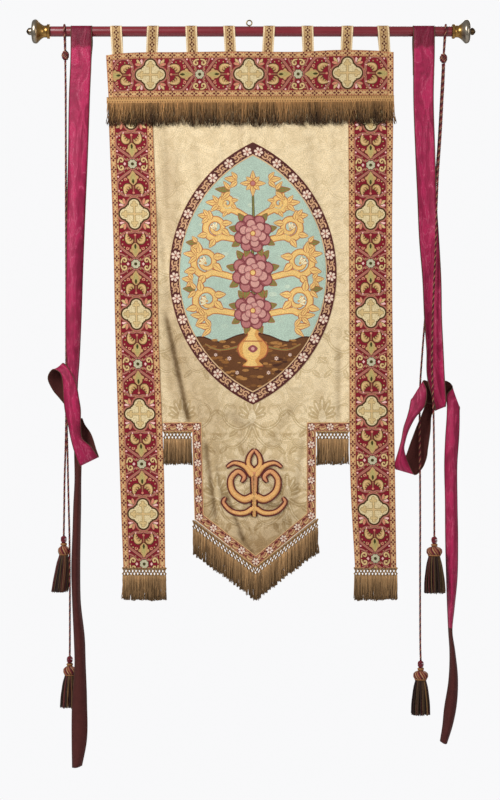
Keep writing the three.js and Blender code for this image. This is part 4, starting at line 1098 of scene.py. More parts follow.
tops = []
for layer, out in enumerate(FRINGE_OUT):
    count = int((last - first) / HEADER_FRINGE["pitch"])
    for k in range(count):
        x = first + (k + 0.5 + layer / len(FRINGE_OUT)) * HEADER_FRINGE["pitch"]
        z = read(HEADER, "x", "foot", min(x, right)) + HEADER_FRINGE["up"]
        y = -float(forward(x, z)) - LAYER["heading"][0] - out
        bulge = max(0, (x - 360) / 45) * 6 - max(0, (-360 - x) / 40) * 3
        tops.append((x, y, z, bulge))
bullion = cut_strands("bullion_strands", tops, HEADER_FRINGE["length"] - HEADER_FRINGE["drop"],
                      HEADER_FRINGE["radius"], FRINGE_TOP, FRINGE_FOOT, 6.5, 4.5, 10, 3.4)
keep_piece(bullion, "bullion_fringe", "header_fringe")


# Panel: cream silk damask woven with palmettes over scrolled leaves, worn and stained, painted shade
# in its creases, and its foot cut to a pointed tongue. The pieces after it are sewn to it.
LEFT_BAND = table(
    "z outer inner",
    (-216, -396, -272), (-286, -393, -270), (-594, -381, -258), (-874, -375, -254), (-1280, -362, -238),
    (-1526, -353, -235),
)
RIGHT_BAND = table(
    "z outer inner",
    (-216, 404, 276), (-286, 403, 277), (-594, 400, 279), (-874, 401, 280), (-1280, 408, 283),
    (-1526, 412, 296),
)
LEDGE_FOOT = -1144
TONGUE = {"left": (-160, -1131, -153, -1389), "tip": (18, -1524), "right": (187, -1386, 187, -1131)}
PANEL_TOP = -120
PANEL_UNDER_BAND = 11
PALMETTES = {"x": 8, "top": -250, "across": 196, "down": 214, "rows": 7, "faintest": 0.3, "clearer": 0.2}
# how deep a crease is where its painted shade starts, and how much deeper it is at full strength
CREASE_SHADE = {"from": 1.6, "full": 3.4}
DAMASK = srgb(230, 208, 168)
DAMASK_FIGURE = srgb(205, 181, 138)
DAMASK_PALE = srgb(238, 219, 182)


def band_edge(band, column, zs, shift=0.0):
    return [(read(band, "z", column, z) + shift, z) for z in zs]


def damask_palmette():
    """A palmette over two long scrolled leaves, about 190 mm tall."""
    shapes = []
    for a in (-1.25, -0.84, -0.42, 0, 0.42, 0.84, 1.25):
        far = 62 - 16 * abs(a)
        lobe = [(0, 0), (-9, far * 0.45), (-6, far * 0.85), (0, far), (6, far * 0.85), (9, far * 0.45)]
        vein = stroke([(0, far * 0.3), (0, far * 0.82)], 0.8, 2.2)
        shapes += moved([(DAMASK_FIGURE, loop_through(lobe, 3)), (DAMASK_PALE, vein)], 0, 0, -a)
    shapes.append((DAMASK_PALE, loop_through([(0, -14), (-11, 2), (0, 26), (11, 2)], 4)))
    half = []
    for line, start, end in (
        (((4, -14), (34, -30), (66, -18), (82, 10), (70, 36), (50, 34), (46, 16), (58, 10)), 6.5, 2.0),
        (((3, -24), (20, -60), (52, -84), (80, -70), (78, -46), (60, -44)), 6.0, 1.8),
        (((0, -40), (10, -84), (0, -124), (-16, -138)), 3.2, 1.4),
    ):
        half.append((DAMASK_FIGURE, stroke(line, start, end, None, 6)))
        half.append((DAMASK_PALE, stroke(line, 1.2, 0.6, None, 7)))
    leaf = loop_through([(0, 0), (10, 7), (24, 5), (32, -3), (18, -7), (6, -6)], 3)
    vein = stroke([(4, 0), (24, -1)], 0.7, 0.5)
    for x, y, a in (
        (40, -34, -0.6), (76, 4, 0.7), (36, -78, -1.9),
        (70, -80, -0.7), (84, -60, 0.6), (14, -70, -2.6),
    ):
        half += moved([(DAMASK_FIGURE, leaf), (DAMASK_PALE, vein)], x, y, a)
    return shapes + half + mirrored(half)


def damask_material():
    """The damask weave with faint curls between its figures, its stains, darkening towards the foot and the
    left that is partly stains and partly painted shade, and painted shade in its creases.
    """
    made = cloth_material("damask_cloth", 0.5, 3600, 3600, mottle=0.16, stain=0.2, relief=0.3)
    tree = made.node_tree
    shader = tree.nodes["Principled BSDF"]
    plain = shader.inputs["Base Color"].links[0].from_socket
    space = put(tree, "ShaderNodeTexCoord").outputs["Object"]
    apart = put(tree, "ShaderNodeSeparateXYZ", Vector=space)
    x, z = apart.outputs["X"], apart.outputs["Z"]
    folded = reckon(tree, "ABSOLUTE", reckon(tree, "SUBTRACT", x, 0.011))
    place = put(tree, "ShaderNodeCombineXYZ", X=folded, Z=z)
    curls = ranged(tree, noise(tree, place.outputs[0], 21.0, 3.0, Distortion=2.6), 0.0, 1.0, 0.45, 0.55)
    depth = ranged(tree, ranged(tree, z, 0.0, 1.0, -0.95, -1.25), 0.35, 1.0)
    toned = blend(tree, reckon(tree, "MULTIPLY", curls, depth), plain, srgb(230, 224, 212), "MULTIPLY")
    drawn = put(tree, "ShaderNodeMapping", Vector=space, Scale=(9.0, 1.0, 3.6))
    runs = noise(tree, drawn.outputs["Vector"], 1.0, 5.0, Distortion=0.8)
    stained = reckon(tree, "MULTIPLY_ADD", runs, 1.5, -0.9)
    # darker towards the foot, the left side and the tongue's point: partly stains, partly painted shade
    lower = reckon(tree, "ADD", stained, ranged(tree, z, -0.12, 0.36, -0.3, -1.5))
    left_side = reckon(tree, "ADD", lower, ranged(tree, x, -0.14, 0.42, 0.26, -0.26))
    total = reckon(tree, "ADD", left_side, ranged(tree, z, 0.0, 0.42, -1.28, -1.46), clamp=True)
    stained_and_shaded = blend(tree, total, toned, srgb(186, 172, 158), "MULTIPLY")
    # the "crease" attribute darkens the creases: painted shade
    crease = put(tree, "ShaderNodeAttribute", {"attribute_name": "crease"})
    crease_shaded = blend(tree, crease.outputs["Fac"], stained_and_shaded, srgb(150, 138, 122), "MULTIPLY")
    feed(tree, shader, Base_Color=crease_shaded)
    return made


ledges = [-216, -290, -440, -594, -730, -874, -1010, LEDGE_FOOT]
tongue_left, tip, tongue_right = TONGUE["left"], TONGUE["tip"], TONGUE["right"]
panel_edge = [(band_edge(LEFT_BAND, "inner", [-216], -PANEL_UNDER_BAND)[0][0], PANEL_TOP)]
panel_edge += band_edge(LEFT_BAND, "inner", ledges, -PANEL_UNDER_BAND)
tongue_edge = [(tongue_left[0], LEDGE_FOOT), tongue_left[2:], tip, tongue_right[:2],
               (tongue_right[2], LEDGE_FOOT)]
panel_edge += tongue_edge
panel_edge += band_edge(RIGHT_BAND, "inner", ledges[::-1], PANEL_UNDER_BAND)
panel_edge.append((band_edge(RIGHT_BAND, "inner", [-216], PANEL_UNDER_BAND)[0][0], PANEL_TOP))
figures = []
for row in range(PALMETTES["rows"]):
    seen = min(1.0, PALMETTES["faintest"] + PALMETTES["clearer"] * row)
    palmette = [(mixed(DAMASK, colour, seen), points) for colour, points in damask_palmette()]
    for column in range(-2, 3):
        x = PALMETTES["x"] + (column + 0.5 * (row % 2)) * PALMETTES["across"]
        figures += moved(palmette, x, PALMETTES["top"] - row * PALMETTES["down"])
panel = cut_cloth("damask_panel", [panel_edge], [], DAMASK, figures, 6.5, on_cloth(0), LAYER["panel"][1],
                  damask_material(), linen)
# Painted shade in the deeper creases, kept for each point in the "crease" attribute.
spots = np.empty(len(panel.data.vertices) * 3)
panel.data.vertices.foreach_get("co", spots)
x, z = spots[0::3] / MM, spots[2::3] / MM
crease_shading = sum(max(0.0, fold["depth"] - CREASE_SHADE["from"]) / CREASE_SHADE["full"] * fold_at(fold, x, z) ** 2
           for fold in CREASES)
panel.data.attributes.new("crease", "FLOAT", "POINT").data.foreach_set("value", np.clip(crease_shading, 0, 1))
keep_piece(panel, "damask", "panel")


# Side bands: two lengths of the same woven band as the header, sewn over the edges of the panel
# and hanging free below it.
BANDS = (
    # name, its edges, the height of one of its crosses and the pitch of its crosses
    ("left", LEFT_BAND, -534.8, 280.0),
    ("right", RIGHT_BAND, -535.5, 275.4),
)
for name, band, cross_at, pitch in BANDS:
    stretch = BAND["repeat"] / pitch
    top, foot = band[0]["z"], band[-1]["z"]
    v_top, v_foot = (top - cross_at) * stretch, (foot - cross_at) * stretch
    near, far = ("outer", "inner") if name == "left" else ("inner", "outer")

    def lay_band(u, v, band=band, cross_at=cross_at, stretch=stretch, near=near, far=far):
        z = cross_at + v / stretch
        start = along(band, "z", near, z)
        x = start + (along(band, "z", far, z) - start) * (u / BAND["half"] + 1) / 2
        return x, -forward(x, z) - LAYER["band"][0], z

    side_band = cut_cloth("side_band_cloth_" + name, [box(-BAND["half"], v_foot, BAND["half"], v_top)], [],
                          CRIMSON, woven_band(v_foot, v_top), 11, lay_band, LAYER["band"][1], figured, linen)
    keep_piece(side_band, "woven_band", "side_band_" + name)


# Mandorla border: a ring of flowered braid, white and pink six-petalled flowers and tan scrolls
# on maroon brown, with a dark outer edge and a thin pale inner line.
MANDORLA = {"x": 10, "z": -701, "height": 367, "width": 234, "inner_height": 330, "inner_width": 205,
            "steps": 60, "line": (3.4, 2.6), "edge": (3.2, 2.4)}
FLOWER_PITCH = 59
FLOWER_FIRST = 18
FLOWER_RADIUS = 13.4
BRAID_GROUND = srgb(80, 42, 38)
BRAID_EDGE = srgb(88, 40, 38)
BRAID_LINE = srgb(216, 178, 134)
SCROLL = srgb(206, 164, 124)
SCROLL_DEEP = srgb(146, 88, 68)
PETAL = srgb(228, 206, 184)
PETAL_SHADE = srgb(192, 138, 122)
FLOWER_EYE = srgb(140, 82, 62)


def almond(height, width, count):
    """An upright almond of two arcs, from its half height and half width."""
    radius = (height ** 2 + width ** 2) / (2 * width)
    half = math.asin(height / radius)
    points = []
    for side in (1, -1):
        for i in range(count):
            angle = -half + 2 * half * i / count
            x = radius * math.cos(angle) - (radius - width)
            points.append((MANDORLA["x"] + side * x, MANDORLA["z"] + side * radius * math.sin(angle)))
    return points


def six_petals(size):
    """A six-petalled flower with a shaded edge to each petal and a small brown eye."""
    shapes = [(BRAID_EDGE, disc(0, 0, size * 1.06, 14))]
    for k in range(6):
        a = 2 * math.pi * k / 6 + 0.26
        petal = [(0.16, 0), (0.56, 0.27), (0.88, 0.25), (1.0, 0), (0.88, -0.25), (0.56, -0.27)]
        for colour, grow in ((PETAL_SHADE, 1.0), (PETAL, 0.84)):
            shape = loop_through([((0.58 + (x - 0.58) * grow) * size, y * grow * size) for x, y in petal], 2)
            shapes += moved([(colour, shape)], 0, 0, a)
    shapes.append((PETAL_SHADE, disc(0, 0, size * 0.26, 8)))
    shapes.append((FLOWER_EYE, disc(0, 0, size * 0.17, 7)))
    return shapes


def scroll_pair(long, half):
    """Two tan scrolls between one flower and the next, turned about the middle."""
    shapes = []
    line = [(-0.42 * long, -0.55 * half), (-0.2 * long, -0.72 * half), (0.02 * long, -0.35 * half),
            (-0.02 * long, 0.3 * half), (-0.24 * long, 0.42 * half), (-0.3 * long, 0.02 * half),
            (-0.16 * long, -0.12 * half)]
    for turn in (0, math.pi):
        pair = [
            (SCROLL_DEEP, stroke(line, 2.9, 2.0, None, 3)),
            (SCROLL, stroke(line, 2.0, 1.2, None, 3)),
            (SCROLL, disc(0.32 * long, -0.5 * half, 2.2, 7)),
            (SCROLL, disc(0.2 * long, -0.1 * half, 1.3, 6)),
            (PETAL_SHADE, disc(-0.12 * long, 0.8 * half, 1.7, 6)),
            (SCROLL, disc(-0.42 * long, 0.7 * half, 1.5, 6)),
        ]
        shapes += moved(pair, 0, 0, turn)
    return shapes


def spaced(points, pitch, first, last):
    """Places along an open line, at even steps near the pitch, each with its direction."""
    line = np.array(points, float)
    run = distances(line)
    count = max(1, int(round((run[-1] - first - last) / pitch)))
    places = []
    for k in range(count + 1):
        at = first + k / count * (run[-1] - first - last)
        i = min(len(line) - 2, int(np.searchsorted(run, at, side="right")) - 1)
        x, y = line[i] + (line[i + 1] - line[i]) * (at - run[i]) / (run[i + 1] - run[i])
        way = line[i + 1] - line[i]
        places.append((float(x), float(y), math.atan2(way[1], way[0])))
    return places


height, width = MANDORLA["height"], MANDORLA["width"]
inner_height, inner_width = MANDORLA["inner_height"], MANDORLA["inner_width"]
outer = almond(height, width, MANDORLA["steps"])
inner = almond(inner_height, inner_width, MANDORLA["steps"])
middle = almond((height + inner_height) / 2, (width + inner_width) / 2, MANDORLA["steps"])
line_up, line_out = MANDORLA["line"]
edge_up, edge_out = MANDORLA["edge"]
figures = [(BRAID_GROUND, almond(height - edge_up, width - edge_out, MANDORLA["steps"])),
           (BRAID_LINE, almond(inner_height + line_up, inner_width + line_out, MANDORLA["steps"]))]
half_count = MANDORLA["steps"]
for start, first, last in ((0, 0, FLOWER_FIRST), (half_count, FLOWER_FIRST, FLOWER_PITCH)):
    arc = (middle + middle)[start:start + half_count + 1]
    for x, z, turn in spaced(arc, FLOWER_PITCH, first, last):
        figures += moved(six_petals(FLOWER_RADIUS), x, z, turn)
    half_pitch = FLOWER_PITCH / 2
    for x, z, turn in spaced(arc, FLOWER_PITCH, first + half_pitch, FLOWER_FIRST + half_pitch - first):
        figures += moved(scroll_pair(FLOWER_PITCH - 24, 11.5), x, z, turn)
border = cut_cloth("mandorla_braid", [outer], [inner], BRAID_EDGE, figures, 12, on_cloth(LAYER["braid"][0]),
                   LAYER["braid"][1], figured, linen)
keep_piece(border, "flower_braid", "mandorla_border")


# Mandorla picture: an embroidered field of pale turquoise with a brown mound, a gold vase and
# a rose tree, gold scrolls and cream lilies, all outlined in couched cord. The design is new.
SKY = srgb(176, 196, 178)
SKY_PALE = srgb(194, 208, 186)
EARTH = srgb(102, 63, 35)
EARTH_PALE = srgb(146, 96, 48)
EARTH_DARK = srgb(72, 40, 26)
GILT = srgb(232, 192, 118)
GILT_DEEP = srgb(214, 154, 84)
COUCHED = srgb(170, 88, 58)
ROSE_DARK = srgb(146, 76, 78)
ROSE = srgb(184, 118, 114)
ROSE_PALE = srgb(208, 154, 142)
ROSE_LINE = srgb(96, 42, 48)
LILY = srgb(240, 226, 184)
LILY_SHADE = srgb(208, 188, 138)
LEAF_OLIVE = srgb(128, 124, 66)
GOLDEN_ANGLE = 2.399


def rose(radius):
    """A full rose of three rings of round petals, each petal outlined and paler outwards."""
    shapes = [(ROSE_LINE, disc(0, 0, radius * 0.93, 22))]
    rings = (
        # how far out and how large its petals are, as shares of the radius, and their number
        (0.74, 0.33, 8, ROSE_DARK, ROSE),
        (0.5, 0.3, 6, ROSE_DARK, ROSE_PALE),
        (0.25, 0.23, 5, ROSE, ROSE_PALE),
    )
    for ring, (out, size, count, deep, pale) in enumerate(rings):
        for k in range(count):
            a = 2 * math.pi * (k + 0.4 * ring) / count + 0.3
            x, y = out * radius * math.cos(a), out * radius * math.sin(a)
            shapes.append((ROSE_LINE, disc(x, y, radius * size * 1.08, 14)))
            shapes.append((deep, disc(x, y, radius * size, 14)))
            x, y = x * 1.07, y * 1.07
            shapes.append((pale, disc(x, y, radius * size * 0.74, 12)))
    shapes.append((COUCHED, disc(0, 0, radius * 0.17, 12)))
    shapes.append((GILT, disc(0, 0, radius * 0.12, 10)))
    return shapes


def spiral(x, y, size, turns, start, way, from_point=None):
    """Points of a scroll that winds in to its middle, after an optional point it springs from."""
    points = [from_point] if from_point else []
    count = int(turns * 8)
    for k in range(count + 1):
        t = k / count
        a = start + way * 2 * math.pi * turns * t
        r = size * (1 - 0.78 * t)
        points.append((x + r * math.cos(a), y + r * math.sin(a)))
    return points


def lily(size):
    shapes = []
    for a in (-0.62, 0.62, 0):
        c, s = math.sin(a), math.cos(a)
        petal = [(0, 0), (-0.2, 0.5), (0, 1.05), (0.2, 0.5)]
        turned = [(size * (c * q + s * p), size * (s * q - c * p)) for p, q in petal]
        shapes.append((COUCHED, loop_through([(x * 1.12, y * 1.08) for x, y in turned], 4)))
        shapes.append((LILY, loop_through(turned, 4)))
        vein = [(turned[k][0] * share, turned[k][1] * share) for k, share in ((0, 0.9), (2, 0.62))]
        shapes.append((LILY_SHADE, stroke(vein, 1.6, 0.5, None, 5)))
    shapes.append((GILT_DEEP, disc(0, 0, size * 0.17, 9)))
    return shapes


def pointed_leaf(long, wide, fill=GILT):
    leaf = [(0, 0), (long * 0.3, wide * 0.5), (long * 0.66, wide * 0.36), (long, 0),
            (long * 0.66, -wide * 0.36), (long * 0.3, -wide * 0.5)]
    grown = [(x * 1.08 - 0.03 * long, y * 1.32) for x, y in leaf]
    vein = [(long * 0.1, 0), (long * 0.5, wide * 0.04), (long * 0.86, 0)]
    return [(COUCHED, loop_through(grown, 3)), (fill, loop_through(leaf, 3)),
            (COUCHED, stroke(vein, 0.7, 0.5, None, 6))]


def picture_figures():
    """All figures about the middle of the field, the right half drawn and mirrored."""
    shapes = []
    for k in range(46):
        a = k * GOLDEN_ANGLE
        r = 14 + 26 * math.sqrt(k)
        patch = disc(0.92 * r * math.cos(a), 1.5 * r * math.sin(a), 9 + 4 * math.sin(k * 1.7), 9, 0.55)
        shapes.append((SKY_PALE if k % 2 else mixed(SKY, SKY_PALE, 0.35), patch))
    mound = [(-210, -206), (-150, -176), (-96, -190), (-44, -172), (0, -164), (44, -172), (96, -190),
             (150, -176), (210, -206), (190, -345), (-190, -345)]
    shapes.append((EARTH_DARK, loop_through(mound, 5)))
    shapes.append((EARTH, loop_through([(x, y - 4) for x, y in mound], 5)))
    chance = random.Random(3)
    earths = (EARTH_PALE, EARTH_DARK, mixed(EARTH, EARTH_PALE, 0.5), mixed(EARTH, GILT_DEEP, 0.5))
    for k in range(150):
        x, y = chance.uniform(-150, 150), chance.uniform(-322, -186)
        colour = chance.choice(earths)
        shapes.append((colour, disc(x, y, chance.uniform(3, 12), 8, 0.4)))
    right = []
    scrolls = (
        # middle of the scroll, its size, where it springs from the stem
        (104, 128, 35, (8, 84)),
        (132, 32, 41, (10, -24)),
        (128, -74, 40, (8, -120)),
        (72, 196, 24, (5, 150)),
    )
    for k, (x, y, size, root) in enumerate(scrolls):
        line = spiral(x, y, size, 1.55, -2.3, 1, root)
        right.append((COUCHED, stroke(line, 8.4, 5.0, 10.0, 5)))
        right.append((GILT_DEEP, stroke(line, 6.8, 3.8, 8.4, 5)))
        right.append((GILT, stroke(line, 4.9, 2.2, 6.4, 5)))
        for at in (0.16, 0.3, 0.42, 0.55, 0.68):
            i = int(at * (len(line) - 1))
            out = math.atan2(line[i][1] - y, line[i][0] - x)
            right += moved(pointed_leaf(size * 0.78, size * 0.42), line[i][0], line[i][1], out + 0.5)
        if k < 3:
            right += moved(lily(size * 0.5), x, y - size * 0.1, (-0.5, -0.9, -1.5)[k])
    edge_leaves = ((262, 34), (232, 40), (196, 34), (160, 28), (84, 30), (52, 36), (-18, 30), (-46, 34),
                   (-120, 36), (-150, 42))
    for k, (y, long) in enumerate(edge_leaves):
        reach = MANDORLA["inner_width"] * (1 - (y / (MANDORLA["inner_height"] + 12)) ** 2) - 6
        right += moved(pointed_leaf(long, 15, LEAF_OLIVE if k % 3 == 1 else GILT), reach - long, y, 0.1)
        right += moved(pointed_leaf(long * 0.8, 12), reach - long, y - 4, -0.75)
        right += moved(pointed_leaf(long * 0.7, 11), reach - long, y + 3, 0.9)
    creeper = [(10, -190), (46, -206), (96, -214), (134, -198)]
    right += [(COUCHED, stroke(creeper, 3.8, 2.2)), (LEAF_OLIVE, stroke(creeper, 2.4, 1.2))]
    for x, y, size in ((66, -238, 6), (104, -228, 5), (44, -278, 5.5)):
        right += moved(six_petals(size), x, y, 0.3)
    shapes += right + mirrored(right)
    stem = [(0, -176), (3, -90), (-3, 10), (2, 110), (0, 236)]
    shapes += [(EARTH_DARK, stroke(stem, 6.6, 3.2)), (LEAF_OLIVE, stroke(stem, 4.4, 1.8))]
    vase = [(-26, -150), (-20, -160), (-14, -172), (-26, -186), (-40, -206), (-34, -230), (-16, -244),
            (-26, -258)]
    vase += [(-x, y) for x, y in reversed(vase)]
    shapes.append((COUCHED, loop_through([(x * 1.09, -204 + (y + 204) * 1.05) for x, y in vase], 4)))
    shapes.append((GILT_DEEP, loop_through(vase, 4)))
    shapes.append((GILT, loop_through([(x * 0.62 - 4, y) for x, y in vase], 4)))
    shapes.append((COUCHED, box(-27, -191, 27, -188)))
    shapes.append((ROSE_DARK, loop_through([(-14, -211), (0, -200), (14, -211), (0, -222)], 4)))
    shapes.append((ROSE_PALE, disc(0, -211, 5, 10)))
    for y, size in ((-104, 50), (2, 55), (112, 50)):
        for a in (0.25, 0.95, 2.2, 2.9, 3.7, 4.4, 5.1, 5.8):
            shapes += moved(pointed_leaf(size * 0.52, size * 0.3, LEAF_OLIVE), 0.86 * size * math.cos(a),
                            y + 0.86 * size * math.sin(a), a)
        shapes += moved(rose(size), 0, y)
    for k in range(8):
        a = 2 * math.pi * k / 8 + math.pi / 2
        shapes += moved(pointed_leaf(30 if k % 2 == 0 else 20, 12), 5 * math.cos(a), 252 + 5 * math.sin(a), a)
    shapes.append((COUCHED, disc(0, 252, 8.5, 14)))
    shapes.append((ROSE, disc(0, 252, 6, 12)))
    return shapes


field = almond(MANDORLA["inner_height"] - 0.6, MANDORLA["inner_width"] - 0.6, MANDORLA["steps"])
stitched = cloth_material("stitched_silk", 0.55, 2400, 5200, mottle=0.3, stain=0.1, relief=0.6)
figures = moved(picture_figures(), MANDORLA["x"], MANDORLA["z"])
picture = cut_cloth("embroidered_field", [field], [], SKY, figures, 12, on_cloth(LAYER["braid"][0]),
                    LAYER["braid"][1], stitched, linen)
keep_piece(picture, "embroidery", "mandorla_picture")


# Lower braid: flowered braid along the two ledges and down round the point of the tongue, pale
# tan and maroon with white flowers, and a flower in every corner.
BRAID = {"width": 26, "corner_rise": 12, "tip_rise": 33, "side_gap": 1, "flower_pitch": 46,
         "flower_radius": 10.4}
LOWER_GROUND = srgb(178, 122, 90)
LOWER_PATCH = srgb(116, 50, 46)
LOWER_DARK = srgb(62, 34, 30)
LOWER_EDGE = srgb(210, 170, 118)
LOWER_LINES = (
    # share of the way across the braid, dye, half width
    (0.0, LOWER_EDGE, 1.9), (1.0, LOWER_EDGE, 1.9), (0.1, LOWER_PATCH, 0.5), (0.9, LOWER_PATCH, 0.5),
)


def sprig(long, half):
    """Small curls, dots and dark patches between two flowers, the same either way up."""
    shapes = []
    for turn in (0, math.pi):
        blotch = [(-0.3 * long, -0.6 * half), (-0.05 * long, -0.85 * half), (0.16 * long, -0.5 * half),
                  (-0.02 * long, -0.2 * half), (-0.2 * long, -0.25 * half)]
        curl = [(-0.4 * long, 0.2 * half), (-0.18 * long, 0.6 * half), (0.06 * long, 0.5 * half),
                (0.02 * long, 0.1 * half)]
        pieces = [
            (LOWER_PATCH, loop_through(blotch, 3)),
            (LOWER_DARK, stroke(curl, 2.8, 2.0, 3.4)),
            (LOWER_EDGE, stroke(curl, 1.6, 1.1, 2.3)),
            (LOWER_DARK, disc(0.36 * long, 0.66 * half, 2.3, 6)),
            (LOWER_PATCH, disc(-0.46 * long, -0.3 * half, 2.8, 6)),
            (LOWER_DARK, disc(-0.06 * long, -0.55 * half, 1.5, 6)),
            (LOWER_EDGE, disc(0.42 * long, 0.16 * half, 1.8, 6)),
            (PETAL_SHADE, disc(0.26 * long, -0.6 * half, 2.2, 7)),
        ]
        shapes += moved(pieces, 0, 0, turn)
    return shapes


start = read(LEFT_BAND, "z", "inner", LEDGE_FOOT) + BRAID["side_gap"]
end = read(RIGHT_BAND, "z", "inner", LEDGE_FOOT) - BRAID["side_gap"]
top, wide = LEDGE_FOOT + BRAID["width"], BRAID["width"]
outside = [(start, LEDGE_FOOT), *tongue_edge, (end, LEDGE_FOOT)]
inside = [
    (start, top), (tongue_left[0] + wide, top),
    (tongue_left[2] + wide, tongue_left[3] + BRAID["corner_rise"]),
    (tip[0], tip[1] + BRAID["tip_rise"]),
    (tongue_right[0] - wide, tongue_right[1] + BRAID["corner_rise"]),
    (tongue_right[2] - wide, top), (end, top),
]
figures = []
for share, colour, half in LOWER_LINES:
    line = [(a[0] + (b[0] - a[0]) * share, a[1] + (b[1] - a[1]) * share) for a, b in zip(outside, inside)]
    for a, b in zip(line, line[1:]):
        turn = math.atan2(b[1] - a[1], b[0] - a[0])
        px, py = -math.sin(turn) * half, math.cos(turn) * half
        figures.append((colour, [(a[0] - px, a[1] - py), (b[0] - px, b[1] - py), (b[0] + px, b[1] + py),
                                 (a[0] + px, a[1] + py)]))
middle = [((a[0] + b[0]) / 2, (a[1] + b[1]) / 2) for a, b in zip(outside, inside)]
for a, b in zip(middle, middle[1:]):
    span = math.dist(a, b)
    turn = math.atan2(b[1] - a[1], b[0] - a[0])
    parts = max(1, round(span / BRAID["flower_pitch"]))
    for k in range(2 * parts + 1):
        t = k / 2 / parts
        figure = sprig(span / parts - 17, 10) if k % 2 else six_petals(BRAID["flower_radius"])
        figures += moved(figure, a[0] + (b[0] - a[0]) * t, a[1] + (b[1] - a[1]) * t, turn)
lower_braid = cut_cloth("lower_braid_cloth", [outside + inside[::-1]], [], LOWER_GROUND, figures, 10,
                        on_cloth(LAYER["braid"][0]), LAYER["braid"][1], figured, linen)
keep_piece(lower_braid, "flower_braid", "lower_braid")


# Emblem: a fleuron of raised satin stitch on the tongue, orange with pink ends and paler gold along the crest
# of each stroke as a painted highlight, a dark red cord couched along every edge. The design is new.
EMBLEM = {"x": 14, "z": -1290, "height": 3.0, "cord": 1.9, "step": 2.5}
EMBLEM_STROKES = (
    # route, half width at its start and end
    (((0, -92), (0, -50), (0, 0), (0, 36)), 7, 12),
    (((0, -34), (30, -44), (60, -22), (66, 12), (46, 34), (28, 20), (36, 4)), 12, 7),
    (((0, -66), (28, -82), (62, -78), (86, -54), (80, -38)), 9, 6),
    (((4, 22), (26, 48), (56, 58), (78, 46)), 11, 5),
    (((0, 34), (16, 52), (14, 76), (0, 96)), 10, 6),
)
SATIN = srgb(206, 142, 84)
SATIN_HIGHLIGHT = srgb(226, 178, 112)
SATIN_PINK = srgb(196, 122, 96)
EMBLEM_CORD = srgb(96, 36, 32)
satin = cloth_material("satin_stitch", 0.42, 0, 6000, mottle=0.12, stain=0.05, relief=0.8)
emblem_yarn = yarn_material("emblem_yarn", 0.6, 0.03)
points, faces, uv, dye, edges = [], [], [], [], []
for route, start, end in EMBLEM_STROKES:
    for side in (1, -1):
        flat = smooth_line([(EMBLEM["x"] + side * x, EMBLEM["z"] + z) for x, z in route], EMBLEM["step"])
        way = directions(flat)
        t = np.linspace(0, 1, len(flat))
        half = start + (end - start) * t - EMBLEM["cord"]
        half = half * np.sqrt(np.clip(1 - np.clip((t - 0.9) / 0.1, 0, 1) ** 2, 0.04, 1))
        run = distances(flat)
        first = len(points)
        for share in np.linspace(-1, 1, 9):
            x = flat[:, 0] - way[:, 1] * half * share
            z = flat[:, 1] + way[:, 0] * half * share
            rise = EMBLEM["height"] * math.sqrt(max(0, 1 - share * share)) + 0.2
            points.extend(np.stack([x, -forward(x, z) - LAYER["braid"][0] - rise, z], 1))
            uv.extend(np.stack([half * share, run], 1))
            for k in range(len(flat)):
                # paler along each stroke's crest: a painted highlight
                shade = mixed(SATIN_HIGHLIGHT, SATIN, abs(share))
                dye.append(mixed(shade, SATIN_PINK, min(1, max(0, t[k] * 1.5 - 0.55)) * 0.8))
        count = len(flat)
        for i in range(8):
            for k in range(count - 1):
                a = first + i * count + k
                quad = (a, a + 1, a + count + 1, a + count)
                faces.append(quad[::side])
        for share in (-1, 1):
            grown = half + EMBLEM["cord"] * 0.7
            x = flat[:, 0] - way[:, 1] * grown * share
            z = flat[:, 1] + way[:, 0] * grown * share
            edges.append(np.stack([x, -forward(x, z) - LAYER["braid"][0] - 0.9, z], 1))
thread_work = new_piece("satin_strokes", points, faces, satin, uv, dye)
keep_piece(thread_work, "gold_applique", "emblem")
count = len(edges)
emblem_cord = strands("emblem_cord", edges, [EMBLEM["cord"]] * count, [EMBLEM_CORD] * count, 6, emblem_yarn)
keep_piece(emblem_cord, "gold_applique", "emblem")


# Net fringes: under the ledges, the tongue and the bands, a heading of two threads, three rows
# of knotted mesh and cut bullion strands hanging from the last knots. Under the tongue's braid,
# upright stitches fill the gap above the heading.
NET = {"pitch": 9.4, "rows": 3, "row_pitch": 7.6, "thread": 2.1, "knot": 2.9, "strands": 24, "strand": 1.25,
       "heading": 1.6, "stitch": 1.6}
NET_GAP = 0.3
NET_LENGTH = {"ledge": 93, "tongue": 92, "band": 90}
NET_RISE = 6.8
NET_ENDS = {"ledge": 3, "corner": 2, "tongue": 5, "tongue_drop": 4}
NET_PALE = srgb(160, 124, 80)
NET_DARK = srgb(110, 80, 48)
STRAND_PALE = srgb(176, 138, 94)
STRAND_DARK = srgb(120, 92, 60)


